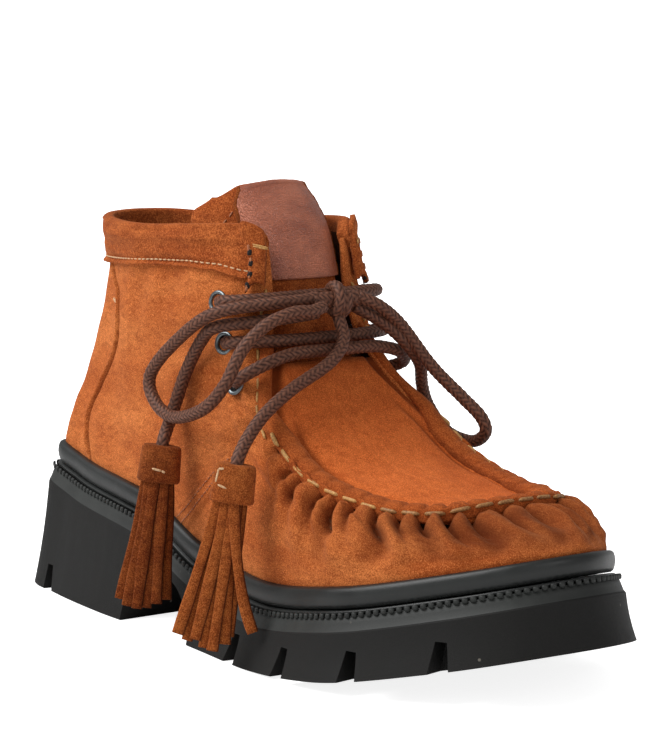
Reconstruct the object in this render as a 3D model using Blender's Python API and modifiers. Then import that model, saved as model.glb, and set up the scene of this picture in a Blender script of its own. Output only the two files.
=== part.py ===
# Lace-up ankle boot with an apron toe: the right shoe of a pair, standing on its sole.
# +X points to the toe, +Y to the inner side of the foot, +Z up. The origin is on the floor,
# at the middle of the outsole.

import bpy
import bmesh
import numpy as np
from mathutils import Vector

mm = 0.001

# Driving dimensions
soleLength = 275 * mm  # outsole, back to toe
ballWidth = 105 * mm  # unit of the outline's widths
collarHeight = 134 * mm  # floor to the front corner of the collar
wallThick = 2.2 * mm  # upper
apronThick = 2.2 * mm
tongueThick = 2.6 * mm
fit = 0.35 * mm  # gap between pieces that meet

# Sole, heights measured down from the foot bed
midsoleDeep = 7.0 * mm
weltThick = 1.3 * mm
bevelDeep = 3.4 * mm
wallFlare = 4.9 * mm  # outsole wall, how far its foot stands out past its top
backFlare = 5.4 * mm  # more of it at the heel's back
toeFlare = -2.3 * mm
featherInset = 5.8 * mm  # from the outsole's top edge to the upper
insoleThick = 3.2 * mm

# Overlays and fittings
cuffDeep = 17 * mm
cuffThick = 1.6 * mm
rimHigh = 2.4 * mm  # rolled rim round the apron
rimWide = 6.0 * mm
rimStart = 0.07  # share of the way round in which the rim grows
eyeletWide = 7.6 * mm
eyeletBore = 4.7 * mm
flangeLap = 0.8 * mm  # flange over the hole's rim
eyeletLift = 0.8 * mm  # flange's foot over the skin
eyeletProud = 0.7 * mm
laceThick = 4.0 * mm

# Ground outline from the heel's back to the toe: share of the length, then of the ball width
outlineColumns = ("along", "lateral", "medial")
outlineRows = np.array([
    (0.000, 0.000, 0.000),
    (0.035, -0.235, 0.235),
    (0.120, -0.300, 0.310),
    (0.250, -0.355, 0.345),
    (0.380, -0.383, 0.340),
    (0.500, -0.425, 0.370),
    (0.620, -0.470, 0.445),
    (0.760, -0.490, 0.490),
    (0.880, -0.380, 0.440),
    (0.965, -0.215, 0.255),
    (1.000, 0.033, 0.033),
])

outlineLean = -0.0024  # centres the outsole on the origin

# Foot bed and ground line: share of the length, then of the collar height
profileColumns = ("along", "bed", "ground")
profileRows = np.array([
    (0.00, 0.410, 0.000),
    (0.15, 0.355, 0.000),
    (0.30, 0.325, 0.000),
    (0.45, 0.232, 0.000),
    (0.60, 0.198, 0.000),
    (0.75, 0.236, 0.024),
    (0.90, 0.304, 0.084),
    (1.00, 0.360, 0.136),
])

# Top edge of the upper on one side, from the back seam round to the toe: share of the way
# round, of the length, of the ball width and of the collar height, then the four reaches
# that bow the wall's section, as shares of the collar height
edgeColumns = ("around", "along", "half", "up", "lowOut", "lowUp", "highOut", "highDown")
edgeRows = np.array([
    (0.000, 0.133, 0.000, 0.981, -0.010, 0.09, -0.040, 0.24),
    (0.080, 0.148, 0.116, 0.980, -0.010, 0.09, -0.040, 0.24),
    (0.180, 0.205, 0.211, 0.975, -0.005, 0.10, -0.035, 0.24),
    (0.300, 0.304, 0.269, 0.978, 0.015, 0.15, -0.010, 0.25),
    (0.400, 0.409, 0.262, 0.993, 0.040, 0.20, 0.010, 0.25),
    (0.445, 0.471, 0.205, 1.000, 0.045, 0.21, 0.045, 0.18),
    (0.475, 0.496, 0.150, 0.970, 0.045, 0.21, 0.080, 0.12),
    (0.510, 0.502, 0.143, 0.881, 0.045, 0.19, 0.105, 0.07),
    (0.545, 0.513, 0.162, 0.769, 0.045, 0.17, 0.115, 0.06),
    (0.585, 0.536, 0.214, 0.664, 0.040, 0.14, 0.095, 0.06),
    (0.620, 0.573, 0.286, 0.567, 0.040, 0.12, 0.065, 0.05),
    (0.650, 0.605, 0.324, 0.507, 0.038, 0.11, 0.050, 0.05),
    (0.700, 0.660, 0.329, 0.444, 0.035, 0.09, 0.055, 0.04),
    (0.760, 0.722, 0.314, 0.414, 0.025, 0.08, 0.065, 0.03),
    (0.820, 0.784, 0.290, 0.401, 0.015, 0.06, 0.065, 0.02),
    (0.880, 0.835, 0.238, 0.401, 0.005, 0.05, 0.060, 0.01),
    (0.940, 0.860, 0.133, 0.407, 0.000, 0.05, 0.060, 0.00),
    (1.000, 0.865, 0.000, 0.410, 0.000, 0.05, 0.060, 0.00),
])
toeSwing = 0.040  # centre line's lean to the inner side at the toe, share of the ball width

# Crown of the apron over a line straight across it, as a share of the collar height
apronColumns = ("around", "crown")
apronRows = np.array([
    (0.578, 0.006),
    (0.620, 0.017),
    (0.700, 0.026),
    (0.760, 0.026),
    (0.820, 0.020),
    (0.880, 0.010),
    (0.940, 0.003),
    (1.000, 0.000),
])

# Eyelets of one side: share of the way round, and up the wall's section
eyeletRows = ((0.440, 0.740), (0.462, 0.610), (0.522, 0.590))

# Tongue from its root to its top: rise, share of the length, half width (share of the ball
# width), height (share of the collar's), how far its wings wrap back and how far they sag
tongueColumns = ("rise", "along", "half", "up", "wrap", "sag")
tongueRows = np.array([
    (0.00, 0.551, 0.162, 0.552, 0.04, 0.00),
    (0.17, 0.533, 0.190, 0.649, 0.08, 0.00),
    (0.35, 0.515, 0.210, 0.746, 0.15, 0.00),
    (0.57, 0.500, 0.229, 0.873, 0.21, 0.00),
    (0.80, 0.480, 0.229, 0.985, 0.23, 0.01),
    (0.92, 0.458, 0.205, 1.052, 0.19, 0.04),
    (1.00, 0.440, 0.167, 1.092, 0.09, 0.05),
])

# Leather tab: its share of the tongue's width, the lowest point of its front leg and of its folded leg
tabShare = 0.6
tabFrontLow = 8 / 14
tabBackLow = 11 / 14
tabThick = 1.4 * mm

# The lace's routes: shares of the sole's length from its middle, of the ball width and of the
# collar height. Each bar runs from an outer eyelet to the throat's middle, about which the
# inner half mirrors it.
throatMiddle = 0.0057
barRise = 0.0007  # of the length, how far a bar stands forward in the middle
barRoutes = (
    (
        (-0.0389, -0.2914, 0.8276), (-0.0131, -0.2819, 0.8313), (0.0087, -0.2305, 0.8358),
        (0.0204, -0.1476, 0.8388), (0.0211, -0.0571, 0.8396),
    ),
    (
        (-0.0207, -0.2990, 0.7321), (0.0018, -0.2810, 0.7351), (0.0200, -0.2333, 0.7388),
        (0.0291, -0.1667, 0.7388), (0.0338, -0.0762, 0.7388),
    ),
    (
        (0.0127, -0.3267, 0.6478), (0.0309, -0.3067, 0.6619), (0.0487, -0.2524, 0.6925),
        (0.0516, -0.1619, 0.7104), (0.0531, -0.0762, 0.7134),
    ),
)
knotPlace = (0.0480, 0.0143, 0.8306)
knotHalf = (5.2 * mm, 6.8 * mm, 5.2 * mm)
cordRoutes = {
    "lace_loop_lateral": (
        (0.0458, -0.0571, 0.8403), (0.0429, -0.1286, 0.8343), (0.0320, -0.2124, 0.8306),
        (-0.0073, -0.3381, 0.8075), (-0.0644, -0.3667, 0.7373), (-0.1204, -0.3714, 0.6410),
        (-0.1073, -0.3810, 0.5761), (-0.0622, -0.3905, 0.5478), (0.0069, -0.4095, 0.5851),
        (0.0400, -0.3905, 0.6493), (0.0491, -0.3429, 0.7313), (0.0582, -0.2714, 0.7873),
        (0.0655, -0.1857, 0.8134), (0.0655, -0.1143, 0.8134), (0.0582, -0.0562, 0.8194),
    ),
    "lace_loop_medial": (
        (0.0567, 0.0819, 0.8388), (0.0673, 0.1476, 0.8119), (0.0691, 0.2286, 0.7612),
        (0.0905, 0.3048, 0.6619), (0.1200, 0.3667, 0.5866), (0.1389, 0.3981, 0.5425),
        (0.1400, 0.4143, 0.5037), (0.1109, 0.4238, 0.4739), (0.0713, 0.4095, 0.4896),
        (0.0473, 0.3857, 0.5485), (0.0509, 0.3505, 0.6045), (0.0673, 0.3048, 0.6642),
        (0.0684, 0.2381, 0.7239), (0.0575, 0.1714, 0.7724), (0.0465, 0.0895, 0.8119),
    ),
    "lace_end_lateral": (
        (0.0425, -0.0457, 0.8030), (0.0345, -0.1286, 0.7948), (0.0200, -0.2333, 0.7858),
        (-0.0164, -0.3162, 0.7709), (-0.0436, -0.3200, 0.7351), (-0.0735, -0.3238, 0.6522),
        (-0.0909, -0.3324, 0.5716), (-0.0891, -0.3619, 0.5224), (-0.0800, -0.3981, 0.4888),
    ),
    "lace_end_medial": (
        (0.0545, 0.0114, 0.7910), (0.0684, 0.0019, 0.7388), (0.0782, -0.0714, 0.6903),
        (0.0855, -0.2286, 0.6381), (0.0927, -0.3429, 0.5896), (0.0982, -0.4190, 0.5373),
        (0.1055, -0.4667, 0.4963),
    ),
}

# Tassels: where each one's top and its strips' ends are, in the same shares
tassels = {
    "tassel_lateral": ((-0.0793, -0.4048, 0.4769), (-0.0855, -0.4629, 0.0858)),
    "tassel_medial": ((0.1062, -0.4743, 0.4851), (0.0945, -0.5381, 0.0672)),
}
tasselCap = 12 * mm
tasselWide = 13 * mm
tasselFlat = 9 * mm
tasselStrips = 7
stripThick = 1.6 * mm

suede = ("suede", (0.42, 0.10, 0.025), 0.85, 0.0)
suedeInside = ("lining", (0.30, 0.08, 0.03), 0.80, 0.0)
leather = ("tab_leather", (0.16, 0.05, 0.03), 0.35, 0.0)
rubber = ("sole_rubber", (0.018, 0.018, 0.017), 0.65, 0.0)
rubberBand = ("band_rubber", (0.035, 0.038, 0.036), 0.40, 0.0)
metal = ("eyelet_metal", (0.16, 0.18, 0.20), 0.30, 1.0)
cordage = ("lace_cord", (0.13, 0.055, 0.035), 0.75, 0.0)


def eased(rows, columns, column, at):
    """A table's column read at any value of its first one, with no overshoot between rows."""
    x = rows[:, 0]
    y = rows[:, columns.index(column)]
    step = np.diff(x)
    rise = np.diff(y) / step
    left = 2 * step[1:] + step[:-1]
    right = step[1:] + 2 * step[:-1]
    same = rise[:-1] * rise[1:] > 0
    safe = np.where(same, rise[:-1], 1), np.where(same, rise[1:], 1)
    slope = np.concatenate([rise[:1], np.where(same, (left + right) / (left / safe[0] + right / safe[1]), 0), rise[-1:]])
    k = np.clip(np.searchsorted(x, at) - 1, 0, len(step) - 1)
    f = np.clip((at - x[k]) / step[k], 0, 1)
    low = y[k] * (1 + 2 * f) * (1 - f) ** 2 + step[k] * slope[k] * f * (1 - f) ** 2
    return low + y[k + 1] * f * f * (3 - 2 * f) + step[k] * slope[k + 1] * f * f * (f - 1)


def mirrored(rows, odd, columns):
    """The half table with one row more past each end, so that the curve is smooth there."""
    flip = np.array([-1 if name in odd else 1 for name in columns])
    first = rows[1] * flip
    first[0] = 2 * rows[0, 0] - rows[1, 0]
    last = rows[-2] * flip
    last[0] = 2 * rows[-1, 0] - rows[-2, 0]
    return np.vstack([first, rows, last])


edgeTable = mirrored(edgeRows, ("half",), edgeColumns)


def outlineKnots():
    lateral = outlineRows[:, (0, 1)]
    medial = outlineRows[-2:0:-1][:, (0, 2)]
    knots = np.vstack([lateral, medial]) - (0.5, outlineLean)
    return knots * (soleLength, ballWidth)


def outline(turn):
    """Points of the ground outline: turn 0 is the heel's back, 0.5 the toe, by the outer side."""
    knots = outlineKnots()
    place = np.asarray(turn) % 1.0 * len(knots)
    i = np.floor(place).astype(int)
    f = (place - i)[..., None]
    a, b, c, d = (knots[(i + k) % len(knots)] for k in (-1, 0, 1, 2))
    return 0.5 * (2 * b + (c - a) * f + (2 * a - 5 * b + 4 * c - d) * f**2 + (3 * b - a - 3 * c + d) * f**3)


def outward(turn):
    """Unit direction away from the sole at each turn."""
    tangent = outline(turn + 0.001) - outline(turn - 0.001)
    normal = np.stack([tangent[..., 1], -tangent[..., 0]], -1)
    return normal / np.linalg.norm(normal, axis=-1, keepdims=True)


def flare(turn):
    facing = outward(turn)[..., 0]
    nearBack = np.cos(2 * np.pi * np.asarray(turn)) > 0.6
    return wallFlare + backFlare * np.clip(-facing, 0, 1) ** 2 * nearBack + toeFlare * np.clip(facing, 0, 1) ** 2


def inset(turn, past=None):
    """The outline drawn in to the outsole's top edge and then by past, or as it is."""
    points = outline(turn)
    if past is None:
        return points
    return points - outward(turn) * (flare(turn) + past)[..., None]


def profile(x, column):
    share = np.clip(np.asarray(x) / soleLength + 0.5, 0, 1)
    return collarHeight * eased(profileRows, profileColumns, column, share)


def ring(turn, past, drop):
    """A loop round the sole, drop below the foot bed, or on the ground where drop is None."""
    plan = inset(turn, past)
    height = profile(plan[..., 0], "ground") if drop is None else profile(plan[..., 0], "bed") - drop
    return np.concatenate([plan, height[..., None]], -1)


def centreLine(x):
    share = np.clip((np.asarray(x) / soleLength + 0.1) / 0.6, 0, 1)
    return toeSwing * ballWidth * share * share * (3 - 2 * share)


def topEdge(turn):
    """The upper's top edge: collar, eyestay and apron seam."""
    turn = np.asarray(turn) % 1.0
    around = np.where(turn > 0.5, 2 - 2 * turn, 2 * turn)
    side = np.where(turn > 0.5, 1.0, -1.0)
    x = (eased(edgeTable, edgeColumns, "along", around) - 0.5) * soleLength
    y = centreLine(x) + side * ballWidth * eased(edgeTable, edgeColumns, "half", around)
    z = collarHeight * eased(edgeTable, edgeColumns, "up", around)
    return np.stack([x, y, z], -1)


def wallPoint(turn, rise):
    """The upper's outer skin: turn goes round the foot, rise from the sole to the top edge."""
    turn = np.asarray(turn, float)
    rise = np.asarray(rise, float)[..., None]
    around = np.where(turn % 1.0 > 0.5, 2 - 2 * (turn % 1.0), 2 * (turn % 1.0))
    reach = {name: collarHeight * eased(edgeTable, edgeColumns, name, around)[..., None] for name in edgeColumns[4:]}
    out = np.concatenate([outward(turn), np.zeros(turn.shape + (1,))], -1)
    up = np.array([0.0, 0.0, 1.0])
    foot = ring(turn, featherInset, -fit)
    top = topEdge(turn)
    low = foot + out * reach["lowOut"] + up * reach["lowUp"]
    high = top + out * reach["highOut"] - up * reach["highDown"]
    back = 1 - rise
    return foot * back**3 + 3 * low * rise * back**2 + 3 * high * rise**2 * back + top * rise**3


def wallOut(turn, rise):
    """Unit normal of the outer skin, away from the foot."""
    e = 0.002
    low = np.clip(np.asarray(rise, float) - e, 0, 1)
    high = np.clip(np.asarray(rise, float) + e, 0, 1)
    along = wallPoint(turn + e, rise) - wallPoint(turn - e, rise)
    upward = wallPoint(turn, high) - wallPoint(turn, low)
    normal = np.cross(along, upward)
    return normal / np.linalg.norm(normal, axis=-1, keepdims=True)


def clearScene():
    for thing in list(bpy.data.objects):
        bpy.data.objects.remove(thing)


def material(look):
    name, colour, roughness, metallic = look
    found = bpy.data.materials.get(name)
    if found:
        return found
    made = bpy.data.materials.new(name)
    made.use_nodes = True
    shader = made.node_tree.nodes["Principled BSDF"]
    shader.inputs["Base Color"].default_value = (*colour, 1)
    shader.inputs["Roughness"].default_value = roughness
    shader.inputs["Metallic"].default_value = metallic
    return made


def place(name, points, faces, look, collection):
    mesh = bpy.data.meshes.new(name)
    mesh.from_pydata([tuple(map(float, p)) for p in points], [], faces)
    mesh.validate()
    made = bpy.data.objects.new(name, mesh)
    collection.objects.link(made)
    mesh.materials.append(material(look))
    mesh.shade_smooth()
    mesh.set_sharp_from_angle(angle=np.radians(40))
    return made


def faceOut(made):
    shape = bmesh.new()
    shape.from_mesh(made.data)
    bmesh.ops.recalc_face_normals(shape, faces=shape.faces)
    shape.to_mesh(made.data)
    shape.free()


def bands(rows, count, wrap=True):
    """Quads between neighbouring rows of count points."""
    last = count if wrap else count - 1
    return [
        (r * count + i, r * count + (i + 1) % count, (r + 1) * count + (i + 1) % count, (r + 1) * count + i)
        for r in range(rows - 1)
        for i in range(last)
    ]


def lid(start, count):
    """Strips across a loop whose point 0 is the back and whose middle point is the toe."""
    half = count // 2
    faces = [(start, start + 1, start + count - 1)]
    faces += [(start + i, start + i + 1, start + count - i - 1, start + count - i) for i in range(1, half - 1)]
    faces.append((start + half - 1, start + half, start + half + 1))
    return faces


def layer(name, rings, look, collection):
    """A closed layer of the sole, from its lowest loop to its highest."""
    count = len(rings[0])
    faces = bands(len(rings), count) + lid(0, count) + lid((len(rings) - 1) * count, count)
    made = place(name, np.concatenate(rings), faces, look, collection)
    faceOut(made)
    return made


def sheet(name, grid, look, collection, thick, wrap=False):
    """A skin through a grid of points, given its thickness on the inner side."""
    rows, count = grid.shape[:2]
    made = place(name, grid.reshape(-1, 3), bands(rows, count, wrap), look, collection)
    solid = made.modifiers.new("thickness", "SOLIDIFY")
    solid.thickness = thick
    solid.offset = -1
    solid.use_even_offset = True
    return made


def cut(made, cutter, operation="DIFFERENCE"):
    boolean = made.modifiers.new(cutter.name, "BOOLEAN")
    boolean.operation = operation
    boolean.object = cutter
    cutter.hide_render = True
    cutter.display_type = "WIRE"


def soleTurns(count):
    """Even steps round the sole, symmetric about its length."""
    return np.arange(count) / count


def buildSole(parts, cutters):
    turn = soleTurns(68)
    stack = midsoleDeep + weltThick + 2 * fit
    outsole = layer("outsole", [
        ring(turn, None, None),
        ring(turn, 0 * mm, stack + bevelDeep),
        ring(turn, 1.7 * mm, stack),
    ], rubber, parts)
    layer("welt", [
        ring(turn, 1.2 * mm, midsoleDeep + fit + weltThick),
        ring(turn, 1.2 * mm, midsoleDeep + fit),
    ], rubber, parts)
    layer("midsole", [
        ring(turn, 4.2 * mm, midsoleDeep),
        ring(turn, 3.4 * mm, midsoleDeep - 1.4 * mm),
        ring(turn, 3.2 * mm, 3.4 * mm),
        ring(turn, 3.8 * mm, 1.2 * mm),
        ring(turn, 5.0 * mm, 0 * mm),
    ], rubberBand, parts)
    insoleEdge = featherInset + wallThick + 3.5 * mm
    layer("insole", [
        ring(turn, insoleEdge, -fit),
        ring(turn, insoleEdge, -fit - insoleThick),
    ], suedeInside, parts)
    cut(outsole, archCutter(cutters))
    for cutter in slotCutters(cutters):
        cut(outsole, cutter)


def prism(name, corners, low, high, cutters):
    """A flat outline in X and Z drawn out from low to high in Y."""
    count = len(corners)
    points = [(x, low, z) for x, z in corners] + [(x, high, z) for x, z in corners]
    faces = [tuple(range(count)), tuple(range(count, 2 * count))]
    faces += [(i, (i + 1) % count, count + (i + 1) % count, count + i) for i in range(count)]
    made = place(name, points, faces, rubber, cutters)
    faceOut(made)
    return made


# Arch between the heel block and the forefoot: shares of the length and of the collar height
archRows = ((0.302, -0.05), (0.310, 0.06), (0.330, 0.125), (0.365, 0.150), (0.420, 0.120), (0.462, 0.040), (0.478, -0.05))


def archCutter(cutters):
    corners = [((along - 0.5) * soleLength, up * collarHeight) for along, up in archRows]
    return prism("arch_cutter", corners, -ballWidth, ballWidth, cutters)


# Slots in the outsole's side: turn round the outline, and width at the ground
slotTurns = (0.036, 0.088, 0.282, 0.323, 0.366, 0.412)
slotWide = 5.5 * mm
slotNarrow = 2.5 * mm
slotDeep = 11 * mm
slotIn = 13 * mm
slotPast = 6 * mm  # the cutter's reach past the wall
slotBelow = 8 * mm  # and under the ground line


def slotCutters(cutters):
    """Tapered slots square to the outline, the same on both sides."""
    made = []
    for turn in [t for one in slotTurns for t in (one, 1 - one)]:
        edge = outline(np.array(turn))
        out = outward(np.array(turn))
        along = np.array([out[1], -out[0]])
        ground = profile(edge[0], "ground")
        points = []
        corners = ((-slotWide, -slotBelow), (-slotNarrow, slotDeep), (slotNarrow, slotDeep), (slotWide, -slotBelow))
        for reach in (-slotIn, slotPast):
            for side, height in corners:
                spot = edge + out * reach + along * side
                points.append((spot[0], spot[1], ground + height))
        faces = [(0, 1, 2, 3), (4, 5, 6, 7)] + [(i, (i + 1) % 4, 4 + (i + 1) % 4, 4 + i) for i in range(4)]
        cutter = place(f"slot_cutter_{len(made)}", points, faces, rubber, cutters)
        faceOut(cutter)
        made.append(cutter)
    return made


def upperTurns():
    """Steps round the upper, closer together at the collar's front corners."""
    half = np.concatenate([np.linspace(0, 0.20, 13)[:-1], np.linspace(0.20, 0.33, 15)[:-1], np.linspace(0.33, 0.5, 14)])
    return np.concatenate([half, 1 - half[-2:0:-1]])


def buildUpper(parts, cutters):
    rise = 1 - np.linspace(1, 0, 10) ** 1.15
    turn, up = np.meshgrid(upperTurns(), rise)
    upper = sheet("upper", wallPoint(turn, up), suede, parts, wallThick, wrap=True)
    for name, spot, out in eyeletPlaces():
        hole = roundCutter("hole_" + name, spot, out, eyeletWide / 2 - flangeLap, 2 * wallThick, cutters)
        cut(upper, hole)
    return upper


def roundCutter(name, spot, out, radius, reach, cutters):
    bpy.ops.mesh.primitive_cylinder_add(vertices=20, radius=radius, depth=2 * reach)
    made = bpy.context.object
    made.name = name
    aim(made, spot, out)
    for collection in list(made.users_collection):
        collection.objects.unlink(made)
    cutters.objects.link(made)
    return made


def aim(made, spot, out):
    """Stands an object at spot with its own Z along out."""
    made.location = Vector(tuple(map(float, spot)))
    made.rotation_mode = "QUATERNION"
    made.rotation_quaternion = Vector(tuple(map(float, out))).to_track_quat("Z", "Y")


def eyeletPlaces():
    """Name, place and facing of each eyelet, top first, outer side then inner."""
    found = []
    for side in ("lateral", "medial"):
        for number, (around, rise) in enumerate(eyeletRows, 1):
            turn = np.array(around / 2 if side == "lateral" else 1 - around / 2)
            found.append((f"{side}_{number}", wallPoint(turn, rise), wallOut(turn, rise)))
    return found


def buildEyelets(parts):
    """Turned rings with a flange on the skin and a barrel through it."""
    flange = eyeletWide / 2
    bore = eyeletBore / 2
    barrel = flange - flangeLap - fit
    through = -1.2 * wallThick
    profilePoints = [
        (barrel, through),
        (barrel, eyeletLift),
        (flange, eyeletLift),
        (0.92 * flange, eyeletLift + 0.6 * eyeletProud),
        (0.79 * flange, eyeletLift + eyeletProud),
        (bore, eyeletLift + 0.3 * eyeletProud),
        (bore, through),
    ]
    steps = 12
    for name, spot, out in eyeletPlaces():
        angles = np.arange(steps) * 2 * np.pi / steps
        points = [(r * np.cos(a), r * np.sin(a), z) for a in angles for r, z in profilePoints]
        count = len(profilePoints)
        faces = [
            (s * count + i, s * count + (i + 1) % count, (s + 1) % steps * count + (i + 1) % count, (s + 1) % steps * count + i)
            for s in range(steps)
            for i in range(count)
        ]
        made = place("eyelet_" + name, points, faces, metal, parts)
        faceOut(made)
        aim(made, spot, out)


def apronPoint(around, across, lift=0.0):
    """The apron's top skin: around runs from its back edge to the toe, across from -1 to 1."""
    around, across = np.broadcast_arrays(np.asarray(around, float), np.asarray(across, float))
    left = topEdge(around / 2)
    right = topEdge(1 - around / 2)
    middle = (left + right) / 2
    half = (right - left) / 2
    width = np.linalg.norm(half, axis=-1, keepdims=True)
    half = half * np.clip(1 - apronGap / np.maximum(width, 1e-6), 0, 1)
    up = crownWay(around)
    crown = collarHeight * eased(apronRows, apronColumns, "crown", around)[..., None]
    return middle + half * across[..., None] + up * (crown * (1 - across[..., None] ** 2) + lift)


def crownWay(around):
    """Unit direction square to the apron's middle line, in the plane of X and Z."""
    e = 0.004
    ahead = (topEdge(np.clip(around + e, 0, 1) / 2) + topEdge(1 - np.clip(around + e, 0, 1) / 2)) / 2
    behind = (topEdge((around - e) / 2) + topEdge(1 - (around - e) / 2)) / 2
    way = ahead - behind
    up = np.stack([-way[..., 2], np.zeros(way.shape[:-1]), way[..., 0]], -1)
    return up / np.linalg.norm(up, axis=-1, keepdims=True)


apronGap = 1.2 * mm


def rimLift(points, edge):
    """Height of the rolled rim at each point, from its distance to the apron's edge."""
    a = edge[:-1]
    way = edge[1:] - a
    gap = points[..., None, :] - a
    share = np.clip((gap * way).sum(-1) / (way**2).sum(-1), 0, 1)
    away = np.linalg.norm(gap - share[..., None] * way, axis=-1).min(-1)
    return rimHigh * np.sin(np.pi * np.clip((away / rimWide + 0.25) / 1.25, 0, 1))


def buildApron(parts):
    back = apronRows[0, 0]
    around = back + (0.994 - back) * (1 - (1 - np.linspace(0, 1, 18)) ** 1.5)
    across = np.array([-1, -0.95, -0.89, -0.8, -0.62, -0.32, 0, 0.32, 0.62, 0.8, 0.89, 0.95, 1])
    a, b = np.meshgrid(around, across, indexing="ij")
    flat = apronPoint(a, b)
    fine = back + (0.994 - back) * np.linspace(0, 1, 60)
    edge = np.concatenate([apronPoint(fine, -1.0), apronPoint(fine[::-1], 1.0)])
    grown = np.clip((a - back) / rimStart, 0.1, 1)
    lifted = flat + crownWay(a) * (grown * rimLift(flat, edge))[..., None]
    return sheet("apron", lifted, suede, parts, apronThick)


def tonguePoint(rise, across):
    rise, across = np.broadcast_arrays(np.asarray(rise, float), np.asarray(across, float))
    read = {name: eased(tongueRows, tongueColumns, name, rise) for name in tongueColumns[1:]}
    wing = np.abs(across)
    x = (read["along"] - 0.5) * soleLength - read["wrap"] * ballWidth * wing**3
    y = centreLine(x) + read["half"] * ballWidth * across
    z = collarHeight * (read["up"] - read["sag"] * wing**2)
    return np.stack([x, y, z], -1)


def buildTongue(parts):
    rise, across = np.meshgrid(np.linspace(0, 1, 15), np.linspace(-1, 1, 11), indexing="ij")
    sheet("tongue", tonguePoint(rise, across), suede, parts, tongueThick)


def tongueOut(rise, across):
    e = 0.01
    along = tonguePoint(np.clip(rise + e, 0, 1), across) - tonguePoint(np.clip(rise - e, 0, 1), across)
    side = tonguePoint(rise, across + e) - tonguePoint(rise, across - e)
    normal = np.cross(side, along)
    return normal / np.linalg.norm(normal, axis=-1, keepdims=True)


def buildTab(parts):
    """Leather folded over the tongue's top: front leg, fold and back leg, drawn across."""
    across = np.linspace(-1, 1, 7) * tabShare
    front = np.linspace(tabFrontLow, 1, 7)
    back = np.linspace(1, tabBackLow, 4)
    rows = []
    for rise in front:
        spot = tonguePoint(rise, across)
        rows.append(spot + tongueOut(np.full(7, rise), across) * fit)
    top = tonguePoint(1.0, across)
    out = tongueOut(np.full(7, 1.0), across)
    rows.append(top + (0, 0, 1.4 * fit) - out * tongueThick / 2)
    for rise in back:
        spot = tonguePoint(rise, across)
        rows.append(spot - tongueOut(np.full(7, rise), across) * (tongueThick + fit))
    made = sheet("tongue_tab", np.array(rows), leather, parts, tabThick)
    made.modifiers["thickness"].offset = 1
    return made


def buildCuff(parts, cutters):
    """A strip laid on the upper along the collar, trimmed to an even depth."""
    reach = 0.262
    turn, up = np.meshgrid(np.linspace(-reach, reach, 45), np.linspace(0.58, 1.0, 6))
    skin = wallPoint(turn, up) + wallOut(turn, up) * 2 * fit
    cuff = sheet("cuff", skin, suede, parts, cuffThick)
    cuff.modifiers["thickness"].offset = 1
    low = [((along - 0.5) * soleLength, up * collarHeight - cuffDeep) for along, up in cuffLine]
    corners = [(-soleLength, 0)] + [(-soleLength, low[0][1])] + low + [(soleLength, low[-1][1]), (soleLength, 0)]
    cut(cuff, prism("cuff_cutter", corners, -ballWidth, ballWidth, cutters))
    return cuff


cuffLine = ((0.12, 0.985), (0.30, 0.978), (0.42, 0.990), (0.53, 1.004))


def shares(points):
    """Places in metres from shares of the length, the ball width and the collar height."""
    return np.array(points, float) * (soleLength, ballWidth, collarHeight)


def smoothed(points, steps):
    """A smooth run of points through the route's own points."""
    knots = shares(points)
    knots = np.vstack([2 * knots[0] - knots[1], knots, 2 * knots[-1] - knots[-2]])
    f = (np.arange(steps) / steps)[:, None]
    run = []
    for a, b, c, d in zip(knots, knots[1:], knots[2:], knots[3:]):
        run.append(0.5 * (2 * b + (c - a) * f + (2 * a - 5 * b + 4 * c - d) * f**2 + (3 * b - a - 3 * c + d) * f**3))
    run.append(knots[-2:-1])
    return np.concatenate(run)


def tube(name, points, collection):
    curve = bpy.data.curves.new(name, "CURVE")
    curve.dimensions = "3D"
    curve.bevel_depth = laceThick / 2
    curve.bevel_resolution = 1
    curve.use_fill_caps = True
    spline = curve.splines.new("POLY")
    spline.points.add(len(points) - 1)
    for knot, spot in zip(spline.points, points):
        knot.co = (*map(float, spot), 1)
    made = bpy.data.objects.new(name, curve)
    curve.materials.append(material(cordage))
    collection.objects.link(made)
    return made


def buildLace(parts):
    for number, route in enumerate(barRoutes, 1):
        middle = (route[-1][0] + barRise, throatMiddle, route[-1][2])
        back = [(x, 2 * throatMiddle - y, z) for x, y, z in reversed(route)]
        tube(f"lace_bar_{number}", smoothed([*route, middle, *back], 2), parts)
    for name, route in cordRoutes.items():
        tube(name, smoothed(route, 2), parts)
    bpy.ops.mesh.primitive_uv_sphere_add(segments=14, ring_count=8, radius=1)
    knot = bpy.context.object
    knot.name = "lace_knot"
    knot.location = shares(knotPlace)
    knot.scale = knotHalf
    bpy.ops.object.transform_apply(location=False, rotation=False, scale=True)
    for collection in list(knot.users_collection):
        collection.objects.unlink(knot)
    parts.objects.link(knot)
    knot.data.materials.append(material(cordage))
    knot.data.shade_smooth()


def block(name, centre, size, turned, collection):
    """A box with the given middle, size and turn matrix."""
    corners = [(x, y, z) for x in (-1, 1) for y in (-1, 1) for z in (-1, 1)]
    points = [np.array(centre) + turned @ (np.array(c) * np.array(size) / 2) for c in corners]
    faces = [(0, 1, 3, 2), (4, 6, 7, 5), (0, 4, 5, 1), (2, 3, 7, 6), (0, 2, 6, 4), (1, 5, 7, 3)]
    made = place(name, points, faces, suede, collection)
    faceOut(made)
    return made


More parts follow.
